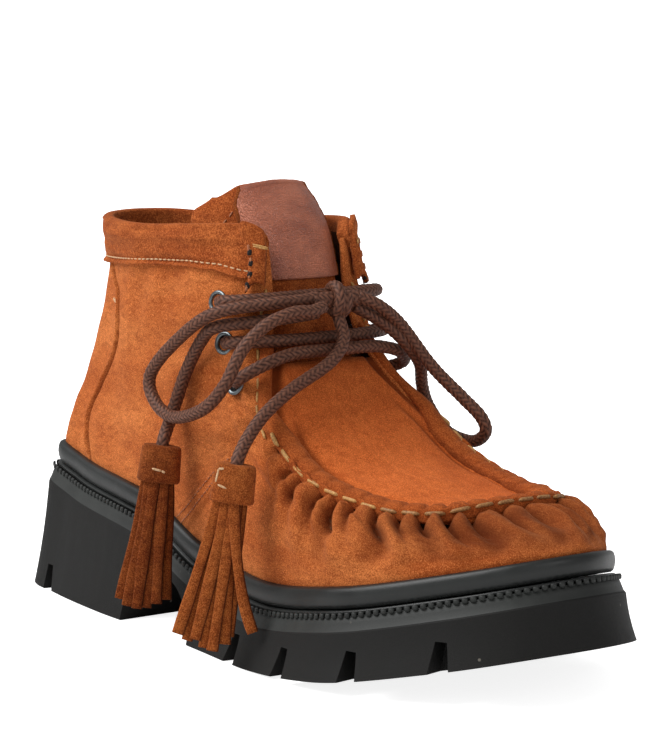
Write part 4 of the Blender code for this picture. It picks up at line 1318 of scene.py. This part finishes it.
def buildCuff():
    turn = np.linspace(-cuffLook["reach"], cuffLook["reach"], 420)
    low = cuffLow(turn)
    section = []
    for share in np.linspace(0, 1, 26):
        rise = low + (1 - low) * share
        lump = cuffLook["proud"] * (0.55 + 0.25 * np.sin(np.pi * share))
        lump = lump + cuffLook["rollHigh"] * hump(share, 0.80, 0.17)
        lump = lump - 0.5 * mm * hump(share, 0.16, 0.06) + 0.7 * mm * hump(share, 0, 0.07)
        lump = lump + 0.3 * mm * wavyNoise(turn * 14, np.array(share * 1.5), 31)
        lump = lump + 0.2 * mm * np.sin(turn * 900) * hump(share, 0, 0.08)
        section.append(wallPoint(turn, rise) + wallOut(turn, rise) * lump[:, None])
    out = wallOut(turn, np.full_like(turn, 0.98))
    upward = np.array([0, 0, 1.0])
    span = last["wall"] + cuffLook["proud"] * 1.5
    for angle in np.linspace(0.15, 0.85, 8) * np.pi:
        centre = topEdge(turn) + out * (cuffLook["proud"] - span / 2)
        section.append(centre + out * np.cos(angle) * span / 2 + upward * np.sin(angle) * span / 2 * 0.8)
    insideFrom = len(section) + 2
    for share in np.linspace(0.96, 0, 10):
        rise = low + (1 - low) * share
        section.append(wallPoint(turn, rise) - wallOut(turn, rise) * (last["wall"] + 0.5 * mm))
    outer = np.array(section)
    rows, count = outer.shape[:2]
    end = (rows - 1) * count
    faces = gridFaces(rows, count) + [(i, end + i, end + i + 1, i + 1) for i in range(count - 1)]
    faces += [tuple(r * count for r in range(rows)), tuple(r * count + count - 1 for r in range(rows))[::-1]]
    piece = newPiece("cuffBand", outer.reshape(-1, 3), faces, suedeCuff)
    paintFaces(piece, lining, insideFrom * (count - 1), (rows - 1) * (count - 1))
    stand(outside(piece), "cuff")


def turnOf(side, around):
    return around / 2 if side == "Outer" else 1 - around / 2


def tabSpot(side, across, down, proud):
    # a point of a front tab: across from its back edge, down from the collar
    topBack, topFront, lowBack, lowFront = (np.array(c) for c in cuffTabCorners)
    across = np.asarray(across, float)[..., None]
    down = np.asarray(down, float)[..., None]
    top = topBack * (1 - across) + topFront * across
    low = lowBack * (1 - across) + lowFront * across
    place = top * (1 - down) + low * down
    out = wallOut(np.array(turnOf(side, 0.455)), np.array(0.93))
    out = np.broadcast_to(out, place.shape[:-1] + (3,))
    return wallPoint(turnOf(side, place[..., 0]), place[..., 1]) + out * np.asarray(proud)[..., None], out


def buildTabs():
    for side in ("Outer", "Inner"):
        across, down = np.meshgrid(np.linspace(0, 1, 22), np.linspace(0, 1, 46), indexing="ij")
        bulge = 1 - np.abs(2 * across - 1) ** 6
        end = smoothStep(0, 0.03, down) * (1 - smoothStep(0.97, 1.0, down))
        soft = 0.25 * mm * wavyNoise(across * 0.8, down * 2.5, 41)
        proud = cuffLook["tabProud"] + soft + 0.35 * mm * bulge * end
        top, out = tabSpot(side, across, down, proud)
        top = top + np.array([0, 0, 2.6 * mm]) * ((1 - down) ** 8 * np.sqrt(np.clip(bulge, 0, 1)))[..., None]
        piece = shell("cuffTab" + side, top, top - out * cuffLook["tabThick"], suedeCuff)
        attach(piece, "root")


buildCuff()
buildTabs()
print("cuff built")

# Tongue and the leather tab folded over its top

tongueLook = {
    "under": 2.5 * mm,
    "edgeIn": 0.5 * mm,
    "topUp": 2.4 * mm,
    "tabFrom": -0.66,  # across the tongue
    "tabTo": 0.54,
    "tabFront": 8 / 14,  # rise where the tab begins in front, and behind
    "tabBehind": 11 / 14,
    "tabThick": 1.4 * mm,
    "tabBevel": 0.3 * mm,
    "piping": 0.85 * mm,  # radius of the dark edge of the tab
}


def buildTongue():
    rise, across = np.meshgrid(np.linspace(0, 1, 70), np.linspace(-1, 1, 61), indexing="ij")
    out = tongueOut(rise, across)
    skin = tonguePoint(rise, across)
    wing = np.abs(across)
    soft = 0.3 * mm * wavyNoise(rise * 3, across * 1.5, 21)
    soft = soft - smoothStep(0.92, 1.0, wing) * tongueLook["edgeIn"]
    skin[..., 2] += tongueLook["topUp"] * smoothStep(0.85, 1.0, rise) * (1 - smoothStep(0.66, 1.0, wing))
    outer = skin + out * soft[..., None] - out * 0.3 * mm
    stand(shell("tongueSuede", outer, skin - out * tongueLook["under"], suedeCuff), "tongue")


def buildTab():
    across = np.linspace(tongueLook["tabFrom"], tongueLook["tabTo"], 49)
    rows = []
    for rise in np.linspace(tongueLook["tabFront"], 1, 48):
        rows.append(tonguePoint(rise, across) + tongueOut(rise, across) * 0.35 * mm)
    top = tonguePoint(1.0, across)
    out = tongueOut(1.0, across)
    upward = np.array([0, 0, 1.0])
    for angle in np.linspace(0.12, 0.88, 9) * np.pi:
        bend = out * np.cos(angle) * 1.65 * mm + upward * np.sin(angle) * 1.2 * mm
        rows.append(top - out * 1.3 * mm + bend)
    for rise in np.linspace(1, tongueLook["tabBehind"], 24):
        rows.append(tonguePoint(rise, across) - tongueOut(rise, across) * 2.95 * mm)
    inner = np.array(rows)
    out = unit(np.cross(np.gradient(inner, axis=1), np.gradient(inner, axis=0)))
    piece = shell("tabLeather", inner + out * tongueLook["tabThick"], inner, tabLeather)
    for label, column in (("Outer", 0), ("Inner", -1)):
        path = (inner + out * tongueLook["tabThick"] / 2)[:, column]
        uneven = wavyNoise(np.arange(len(path))[:, None] * 0.31, np.arange(10)[None, :] * 0.2, 51)
        size = tongueLook["piping"] * (1 + 0.12 * uneven)
        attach(tubeMesh("tabEdge" + label, path, size, suedeDark), "root")
    bevel = piece.modifiers.new("edges", "BEVEL")
    bevel.width = tongueLook["tabBevel"]
    bevel.segments = 2
    bevel.limit_method = "ANGLE"
    bevel.angle_limit = np.radians(50)
    stand(piece, "tongue_tab")


buildTongue()
buildTab()
print("tongue built")

# Eyelets: turned rings

# radius and height over the wall, in mm, round the section of a ring
ringRows = (
    (2.65, -2.6), (2.65, 0.75), (3.8, 0.75), (3.85, 0.95), (3.70, 1.25), (3.35, 1.45),
    (2.95, 1.42), (2.6, 1.2), (2.4, 0.8), (2.35, 0.2), (2.35, -2.6),
)
holeRows = ((2.5, 0.25), (2.5, -0.35))


def buildEyelets(steps=48):
    angle = circleOf(steps)
    for name, spot, out in eyeletPlaces():
        turned = np.array(Vector(tuple(out)).to_track_quat("Z", "Y").to_matrix())
        made = []
        for rows in (ringRows, holeRows):
            rings = [np.stack([r * np.cos(angle), r * np.sin(angle), np.full(steps, z)], -1) for r, z in rows]
            made.append(np.concatenate(rings) * mm @ turned.T + spot)
        end = (len(ringRows) - 1) * steps
        faces = gridFaces(len(ringRows), steps, True)
        faces += [(end + i, end + (i + 1) % steps, (i + 1) % steps, i) for i in range(steps)]
        stand(outside(newPiece("ring_" + name, made[0], faces, gunmetal)), "eyelet_" + name)
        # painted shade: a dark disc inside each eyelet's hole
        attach(outside(newPiece("hole_" + name, made[1], prismFaces(steps), holeShade)), "root")


buildEyelets()
print("eyelets built")

# Sole

sole = {
    "turns": 560,
    "slotTurns": (0.036, 0.088, 0.282, 0.323, 0.366, 0.412),
    "rampDeep": 4.6 * mm,
    "slotWide": 4.7 * mm,
    "slotNarrow": 1.9 * mm,
    "slotDeep": 9 * mm,
    "slotIn": 13 * mm,
    "slotPast": 6 * mm,
    "slotBelow": 8 * mm,
    "toothPitch": 2.7 * mm,
}
archRows = (
    (0.302, -0.05), (0.310, 0.06), (0.330, 0.125), (0.365, 0.150), (0.420, 0.120), (0.462, 0.040),
    (0.478, -0.05),
)
# per ring of the band: in from the outsole's top edge, and down from the foot bed, in mm
bandRows = (
    (4.4, 6.95), (3.7, 6.4), (3.35, 5.4), (3.1, 3.8), (3.15, 3.0), (3.3, 2.0), (3.6, 1.1), (4.1, 0.45),
    (4.8, 0.1), (5.8, 0.0),
)


def stackRings(name, rings, finish):
    # rings of points over each other, closed by strips of faces across both ends
    count = len(rings[0])
    half = count // 2
    faces = gridFaces(len(rings), count, True)
    for start in (0, (len(rings) - 1) * count):
        faces.append((start, start + 1, start + count - 1))
        for i in range(1, half - 1):
            far = start + count - i
            faces.append((start + i, start + i + 1, far - 1, far))
        faces.append((start + half - 1, start + half, start + half + 1))
    return outside(newPiece(name, np.concatenate(rings), faces, finish))


def boolCut(piece, cutter):
    step = piece.modifiers.new("cut", "BOOLEAN")
    step.operation = "DIFFERENCE"
    step.solver = "EXACT"
    step.object = cutter


def freeze(piece):
    # turns a piece with modifiers into a plain mesh
    evaluated = piece.evaluated_get(bpy.context.evaluated_depsgraph_get())
    mesh = bpy.data.meshes.new_from_object(evaluated)
    old = piece.data
    piece.modifiers.clear()
    piece.data = mesh
    bpy.data.meshes.remove(old)


def soleTurns():
    return np.arange(sole["turns"]) / sole["turns"]


def archCutter():
    shape = shares([(along - 0.5, 0, up) for along, up in archRows])
    fine = smoothed(shape, 6)
    points = np.concatenate([fine + (0, side * last["ballWidth"], 0) for side in (-1, 1)])
    return outside(newPiece("archCutter", points, prismFaces(len(fine)), rubberWall))


def slotCutter(turn):
    edge = outline(np.array(turn))
    away = outward(np.array(turn))
    along = np.array([away[1], -away[0]])
    base = profile(edge[0], "ground")
    wide, narrow, deep, below = (sole["slot" + word] for word in ("Wide", "Narrow", "Deep", "Below"))
    points = []
    for reach in (-sole["slotIn"], sole["slotPast"]):
        for side, high in ((-wide, -below), (-narrow, deep), (narrow, deep), (wide, -below)):
            points.append((*(edge + away * reach + along * side), base + high))
    return outside(newPiece("slotCutter", points, prismFaces(4), rubberWall))


def buildOutsole():
    turn = soleTurns()
    stack = last["midsoleDeep"] + last["weltThick"] + 2 * last["fit"]
    ground = outline(turn)
    foot = np.concatenate([ground, profile(ground[:, 0], "ground")[:, None]], -1)
    shoulder = soleRing(turn, -0.2 * mm, stack + sole["rampDeep"])
    out = np.concatenate([outward(turn), np.zeros((len(turn), 1))], -1)
    rings = [foot - out * 0.5 * mm]
    for share in (0.012, 0.15, 0.32, 0.5, 0.68, 0.85, 0.97):
        rings.append(foot + (shoulder - foot) * share - out * 0.5 * mm * np.sin(np.pi * share))
    rings += [
        shoulder - out * 0.35 * mm,
        soleRing(turn, 0.5 * mm, stack + sole["rampDeep"] - 0.5 * mm),
        soleRing(turn, 1.2 * mm, stack + 2.2 * mm),
        soleRing(turn, 1.9 * mm, stack + 0.5 * mm),
        soleRing(turn, 2.4 * mm, stack),
    ]
    piece = stackRings("outsoleRubber", rings, rubberWall)
    paintFaces(piece, rubberRamp, (len(rings) - 5) * len(turn), (len(rings) - 1) * len(turn))
    cutters = [archCutter()] + [slotCutter(turn) for s in sole["slotTurns"] for turn in (s, 1 - s)]
    for cutter in cutters:
        boolCut(piece, cutter)
    freeze(piece)
    for cutter in cutters:
        bpy.data.objects.remove(cutter)
    piece.data.shade_smooth()
    piece.data.set_sharp_from_angle(angle=np.radians(32))
    stand(piece, "outsole")


def buildMidsole():
    rings = [soleRing(soleTurns(), past * mm, drop * mm) for past, drop in bandRows]
    stand(stackRings("midsoleBand", rings, rubberBand), "midsole")


def buildWelt():
    top = last["midsoleDeep"] + last["fit"]
    rows = ((3.4, top + last["weltThick"]), (3.0, top + last["weltThick"] * 0.5), (3.4, top))
    rings = [soleRing(soleTurns(), past * mm, drop) for past, drop in rows]
    stand(stackRings("weltPlate", rings, rubberBand), "welt")


buildOutsole()
buildMidsole()
buildWelt()
print("sole built")

# Repeats: welt teeth and stitches are set out on points that know their direction


def buildRepeatTree():
    tree = bpy.data.node_groups.new("setOutAlong", "GeometryNodeTree")
    takes = (
        ("Points", "NodeSocketGeometry"), ("Item", "NodeSocketObject"), ("Length", "NodeSocketFloat"),
        ("Width", "NodeSocketFloat"), ("Loose", "NodeSocketFloat"), ("Finish", "NodeSocketMaterial"),
    )
    for label, kind in takes:
        tree.interface.new_socket(label, in_out="INPUT", socket_type=kind)
    tree.interface.new_socket("Pieces", in_out="OUTPUT", socket_type="NodeSocketGeometry")
    add = nodeTool(tree)
    given = add("NodeGroupInput").outputs
    item = add("GeometryNodeObjectInfo", ("Object", given["Item"]))
    away, along = (
        add("GeometryNodeInputNamedAttribute", ("Name", name), data_type="FLOAT_VECTOR").outputs["Attribute"]
        for name in ("away", "along")
    )
    upright = add("FunctionNodeAlignRotationToVector", ("Vector", away), axis="Z").outputs[0]
    point = add("FunctionNodeAlignRotationToVector", ("Rotation", upright), ("Vector", along),
                axis="X", pivot_axis="Z").outputs[0]
    low, high = (
        add("ShaderNodeVectorMath", (0, (0.0, 0.0, way)), ("Scale", given["Loose"]), operation="SCALE")
        for way in (-1.0, 1.0)
    )
    sway = add("FunctionNodeRandomValue", (0, low.outputs[0]), (1, high.outputs[0]), ("Seed", 7),
               data_type="FLOAT_VECTOR")
    turned = add("FunctionNodeRotateRotation", ("Rotation", point), ("Rotate By", sway.outputs[0]),
                 rotation_space="LOCAL")
    size = add("ShaderNodeCombineXYZ", ("X", given["Length"]), ("Y", given["Width"]), ("Z", given["Width"]))
    placed = add("GeometryNodeInstanceOnPoints", ("Points", given["Points"]),
                 ("Instance", item.outputs["Geometry"]), ("Rotation", turned.outputs[0]),
                 ("Scale", size.outputs[0]))
    solid = add("GeometryNodeRealizeInstances", ("Geometry", placed.outputs[0]))
    dressed = add("GeometryNodeSetMaterial", ("Geometry", solid.outputs[0]), ("Material", given["Finish"]))
    add("NodeGroupOutput", (0, dressed.outputs[0]))
    return tree


repeatTree = buildRepeatTree()


def stitchShape(steps=9, sides=8):
    # a unit stitch: a thread that dips at both ends, one long and one across
    x = np.linspace(-0.5, 0.5, steps)
    rise = 0.45 * np.sqrt(np.clip(1 - (2 * x) ** 4, 0, 1)) - 0.35
    thick = 0.5 * np.clip(1 - (2 * np.abs(x)) ** 6 * 0.55, 0.3, 1)
    around = circleOf(sides)
    points = [(a, t * np.cos(g), z + t * np.sin(g)) for a, z, t in zip(x, rise, thick) for g in around]
    return outside(newPiece("stitchShape", points, ringFaces(steps, sides), threadGold))


def toothShape():
    # a rounded rib of the welt, standing along z
    sides = 10
    angle = np.linspace(0, np.pi, sides)
    points = []
    for z, size in ((-0.5, 1.0), (0.25, 1.0), (0.5, 0.75)):
        points += [(np.cos(a) * 0.5 * size, -np.sin(a) * 0.5 * size, z) for a in angle]
    faces = gridFaces(3, sides)
    faces += [tuple(range(sides)), tuple(range(2 * sides, 3 * sides))[::-1]]
    faces += [(0, sides, 2 * sides, 3 * sides - 1, 2 * sides - 1, sides - 1)]
    return outside(newPiece("toothShape", points, faces, rubberBand))


stitchItem = stitchShape()
toothItem = toothShape()


def setOut(name, places, along, away, item, length, width, finish, loose=0.0):
    mesh = bpy.data.meshes.new(name)
    mesh.from_pydata([tuple(map(float, p)) for p in places], [], [])
    for label, values in (("along", along), ("away", away)):
        layer = mesh.attributes.new(label, "FLOAT_VECTOR", "POINT")
        layer.data.foreach_set("vector", np.asarray(values, float).ravel())
    holder = newObject(name, mesh)
    step = holder.modifiers.new("setOut", "NODES")
    step.node_group = repeatTree
    values = {"Length": float(length), "Width": float(width), "Loose": float(loose)}
    values.update(Item=item, Finish=finish)
    for socket in repeatTree.interface.items_tree:
        if socket.in_out == "INPUT" and socket.name in values:
            step[socket.identifier] = values[socket.name]
    freeze(holder)
    holder.data.shade_smooth()
    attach(holder, "root")


# per seam, in mm: from stitch to stitch, length and thickness; then its thread and how loosely it lies
seamRows = {
    "eyestay": (5.0, 3.9, 0.95, threadGold, 0.05),
    "counter": (2.4, 1.6, 0.42, threadRust, 0.05),
    "quarter": (2.2, 1.5, 0.42, threadRust, 0.05),
    "cuff": (2.5, 1.8, 0.50, threadPale, 0.05),
    "tab": (3.9, 2.6, 0.90, threadRust, 0.10),
    "tongue": (3.2, 2.3, 0.60, threadRust, 0.08),
}


def stitchRow(seam, side, line, away):
    # even stitches along a polyline on the surface
    pitch, length, thick, finish, loose = seamRows[seam]
    spots, far = evenly(line, pitch * mm)
    along = unit(np.gradient(spots, axis=0))
    normal = unit(readAlong(far, runLength(line), away))
    setOut(seam + "Stitch" + side, spots, along, normal, stitchItem, length * mm, thick * mm, finish, loose)


def setBetween(name, ends, away, thick, finish):
    # one stitch from end to end
    way = ends[-1] - ends[0]
    length = np.linalg.norm(way)
    setOut(name, [(ends[0] + ends[-1]) / 2], [way / length], [away], stitchItem, length, thick, finish)


def onWall(turn, rise, lift):
    # places over the wall's relief, and the way out of it
    height = upperRelief(turn, rise)[0]
    out = wallOut(turn, rise)
    return wallPoint(turn, rise) + out * (height + lift)[:, None], out


def buildTeeth():
    turn = np.linspace(0, 1, 2400, endpoint=False)
    line = soleRing(turn, 1.9 * mm, last["midsoleDeep"] + last["fit"] + 1.3 * mm)
    closed = np.vstack([line, line[:1]])
    spots = evenly(closed, sole["toothPitch"])[0][:-1]
    along = unit(np.roll(spots, -1, axis=0) - np.roll(spots, 1, axis=0))
    away = np.broadcast_to([0.0, 0.0, 1.0], spots.shape)
    setOut("weltTeeth", spots, along, away, toothItem, 2.0 * mm, 1.5 * mm, rubberRamp)


buildTeeth()

eyestayRows = (
    (0.516, 0.93), (0.530, 0.885), (0.545, 0.862), (0.560, 0.858), (0.576, 0.850), (0.590, 0.826),
    (0.604, 0.812), (0.620, 0.845),
)


def seamOnWall(side, rows, lift, count=160):
    # a seam's line on the wall, from rows of rise and around
    rise = np.linspace(rows[0, 0], rows[-1, 0], count)
    return onWall(turnOf(side, eased(rows, ("rise", "around"), "around", rise)), rise, lift)


midFoot = np.array([0.05, 0, 0.06])


def stitchApron():
    # one stitch between each two folds, over the outer side of the rim
    turn, centre, inward, up, wide, high = rimRun(0.622, 400)
    angle = np.pi - apronLook["stitchAngle"]
    away = unit(inward * np.cos(angle) * 0.8 + up * np.sin(angle))
    line = centre + inward * (np.cos(angle) * wide / 2)[:, None] + up * (np.sin(angle) * high / 2)[:, None]
    phase = gatherPhase(turn, np.ones(len(turn)))
    picks = np.arange(np.ceil(phase[0]) + 0.5, phase[-1], 1.0)
    spots = readAlong(picks, phase, line)
    away = unit(readAlong(picks, phase, away))
    along = unit(np.gradient(spots, axis=0))
    toe = np.abs(picks) < 5.8
    for name, some, finish in (("Side", ~toe, threadGold), ("Toe", toe, threadBrown)):
        places = spots[some] + away[some] * 0.45 * mm
        setOut("apronStitch" + name, places, along[some], away[some], stitchItem,
               6.4 * mm, 1.35 * mm, finish, 0.06)


def stitchWall(side):
    # beside the eyelets, at the heel's counter with its tack, and along both edges of the quarter's band
    run = smoothed(np.array(eyestayRows), 12)
    stitchRow("eyestay", side, *onWall(turnOf(side, run[:, 0]), run[:, 1], 0.45 * mm))
    line, out = seamOnWall(side, counterRows[:-1], 0.1 * mm)
    way = unit(np.cross(out, unit(np.gradient(line, axis=0))))
    toHeel = way * np.sign((way * (line - midFoot)).sum(-1))[:, None]
    stitchRow("counter", side, line + toHeel * 1.9 * mm + out * 0.5 * mm, out)
    tack, out = seamOnWall(side, np.array([(0.70, 0.218), (0.736, 0.218), (0.77, 0.218)]), 0.5 * mm, 3)
    across = unit(np.cross(out, tack[2] - tack[0]))
    setOut("counterTack" + side, tack[1:2], across[1:2], out[1:2], stitchItem, 4.6 * mm, 0.9 * mm, threadPale)
    line, out = seamOnWall(side, quarterRows[:-1], 0.05 * mm)
    across = np.cross(out, unit(np.gradient(line, axis=0)))
    for number, reach in enumerate((-1.3, 1.3)):
        stitchRow("quarter", side + str(number), line + across * reach * mm + out * 0.15 * mm, out)


def stitchCuff(side):
    # along the cuff's lower edge, and down and across its front tab
    turn = np.linspace(0.002, cuffLook["reach"] - 0.008, 300)
    turn = turn if side == "Outer" else 1 - turn
    low = cuffLow(turn)
    rise = low + (1 - low) * 0.15
    out = wallOut(turn, rise)
    stitchRow("cuff", side, wallPoint(turn, rise) + out * 1.05 * mm, out)
    proud = cuffLook["tabProud"]
    down = np.linspace(0.36, 0.98, 60)
    stitchRow("tab", side, *tabSpot(side, np.full(60, 0.10), down, np.full(60, proud + 0.25 * mm)))
    for number, high in enumerate((0.31, 0.35)):
        across = np.array([0.06, 0.5, 0.90])
        spots, out = tabSpot(side, across, np.full(3, high), np.full(3, proud + 0.45 * mm))
        length = np.linalg.norm(spots[2] - spots[0])
        way = unit(spots[2] - spots[0])
        setOut(f"tabBar{side}{number}", spots[1:2], [way], out[1:2], stitchItem, length, 0.6 * mm, threadGold)


def stitchTongue(side):
    rise = np.linspace(0.66, 0.93, 60)
    edge = np.interp(rise, (0.66, 0.80, 0.93), (0.92, 0.86, 0.66)) * (-1 if side == "Outer" else 1)
    out = tongueOut(rise, edge)
    stitchRow("tongue", side, tonguePoint(rise, edge) + out * 0.15 * mm, out)


def buildHoles():
    # painted shade: dark stitch-shaped pieces sunk into the tab, for the holes that the big tab stitches go
    # into
    for side, sunk in (("Outer", 0.1 * mm), ("Inner", 0.5 * mm)):
        down = np.array([0.43, 0.61, 0.78, 0.94])
        spots, out = tabSpot(side, np.full(4, 0.10), down, np.full(4, cuffLook["tabProud"] - sunk))
        along = unit(np.gradient(spots, axis=0))
        setOut("tabHoles" + side, spots, along, out, stitchItem, 2.2 * mm, 1.6 * mm, holeShade, 0.3)


# per stitch of a cap: its start and its end, each across the cap and down it
capStitchRows = {
    "Outer": (((-0.35, 0.62), (0.15, 0.66)), ((0.15, 0.66), (0.32, 0.70))),
    "Inner": (((-0.78, 0.12), (-0.86, 0.52)), ((-0.74, 0.55), (-0.05, 0.66)), ((-0.78, 0.14), (-0.55, 0.12))),
}


def buildTasselStitches():
    for label, (top, down, right, front) in (("Outer", outerFrame), ("Inner", innerFrame)):
        for number, ends in enumerate(capStitchRows[label]):
            spots = []
            for across, high in ends:
                deep = tassel["capDeep"] / 2 * 1.04 * np.sqrt(max(0.05, 1 - abs(across) ** 2.7)) + 0.1 * mm
                spot = top + down * high * tassel["capHigh"] + right * across * tassel["capWide"] / 2
                spots.append(spot + front * deep)
            setBetween(f"tasselStitch{label}{number}", spots, front, 0.75 * mm, threadPale)


stitchApron()
for side in ("Outer", "Inner"):
    stitchWall(side)
    stitchCuff(side)
    stitchTongue(side)
buildHoles()
buildTasselStitches()
for helper in (stitchItem, toothItem):
    bpy.data.objects.remove(helper)
print("stitches built")

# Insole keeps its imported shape
insole = bpy.data.objects["insole"]
for slot in insole.material_slots:
    slot.material = lining
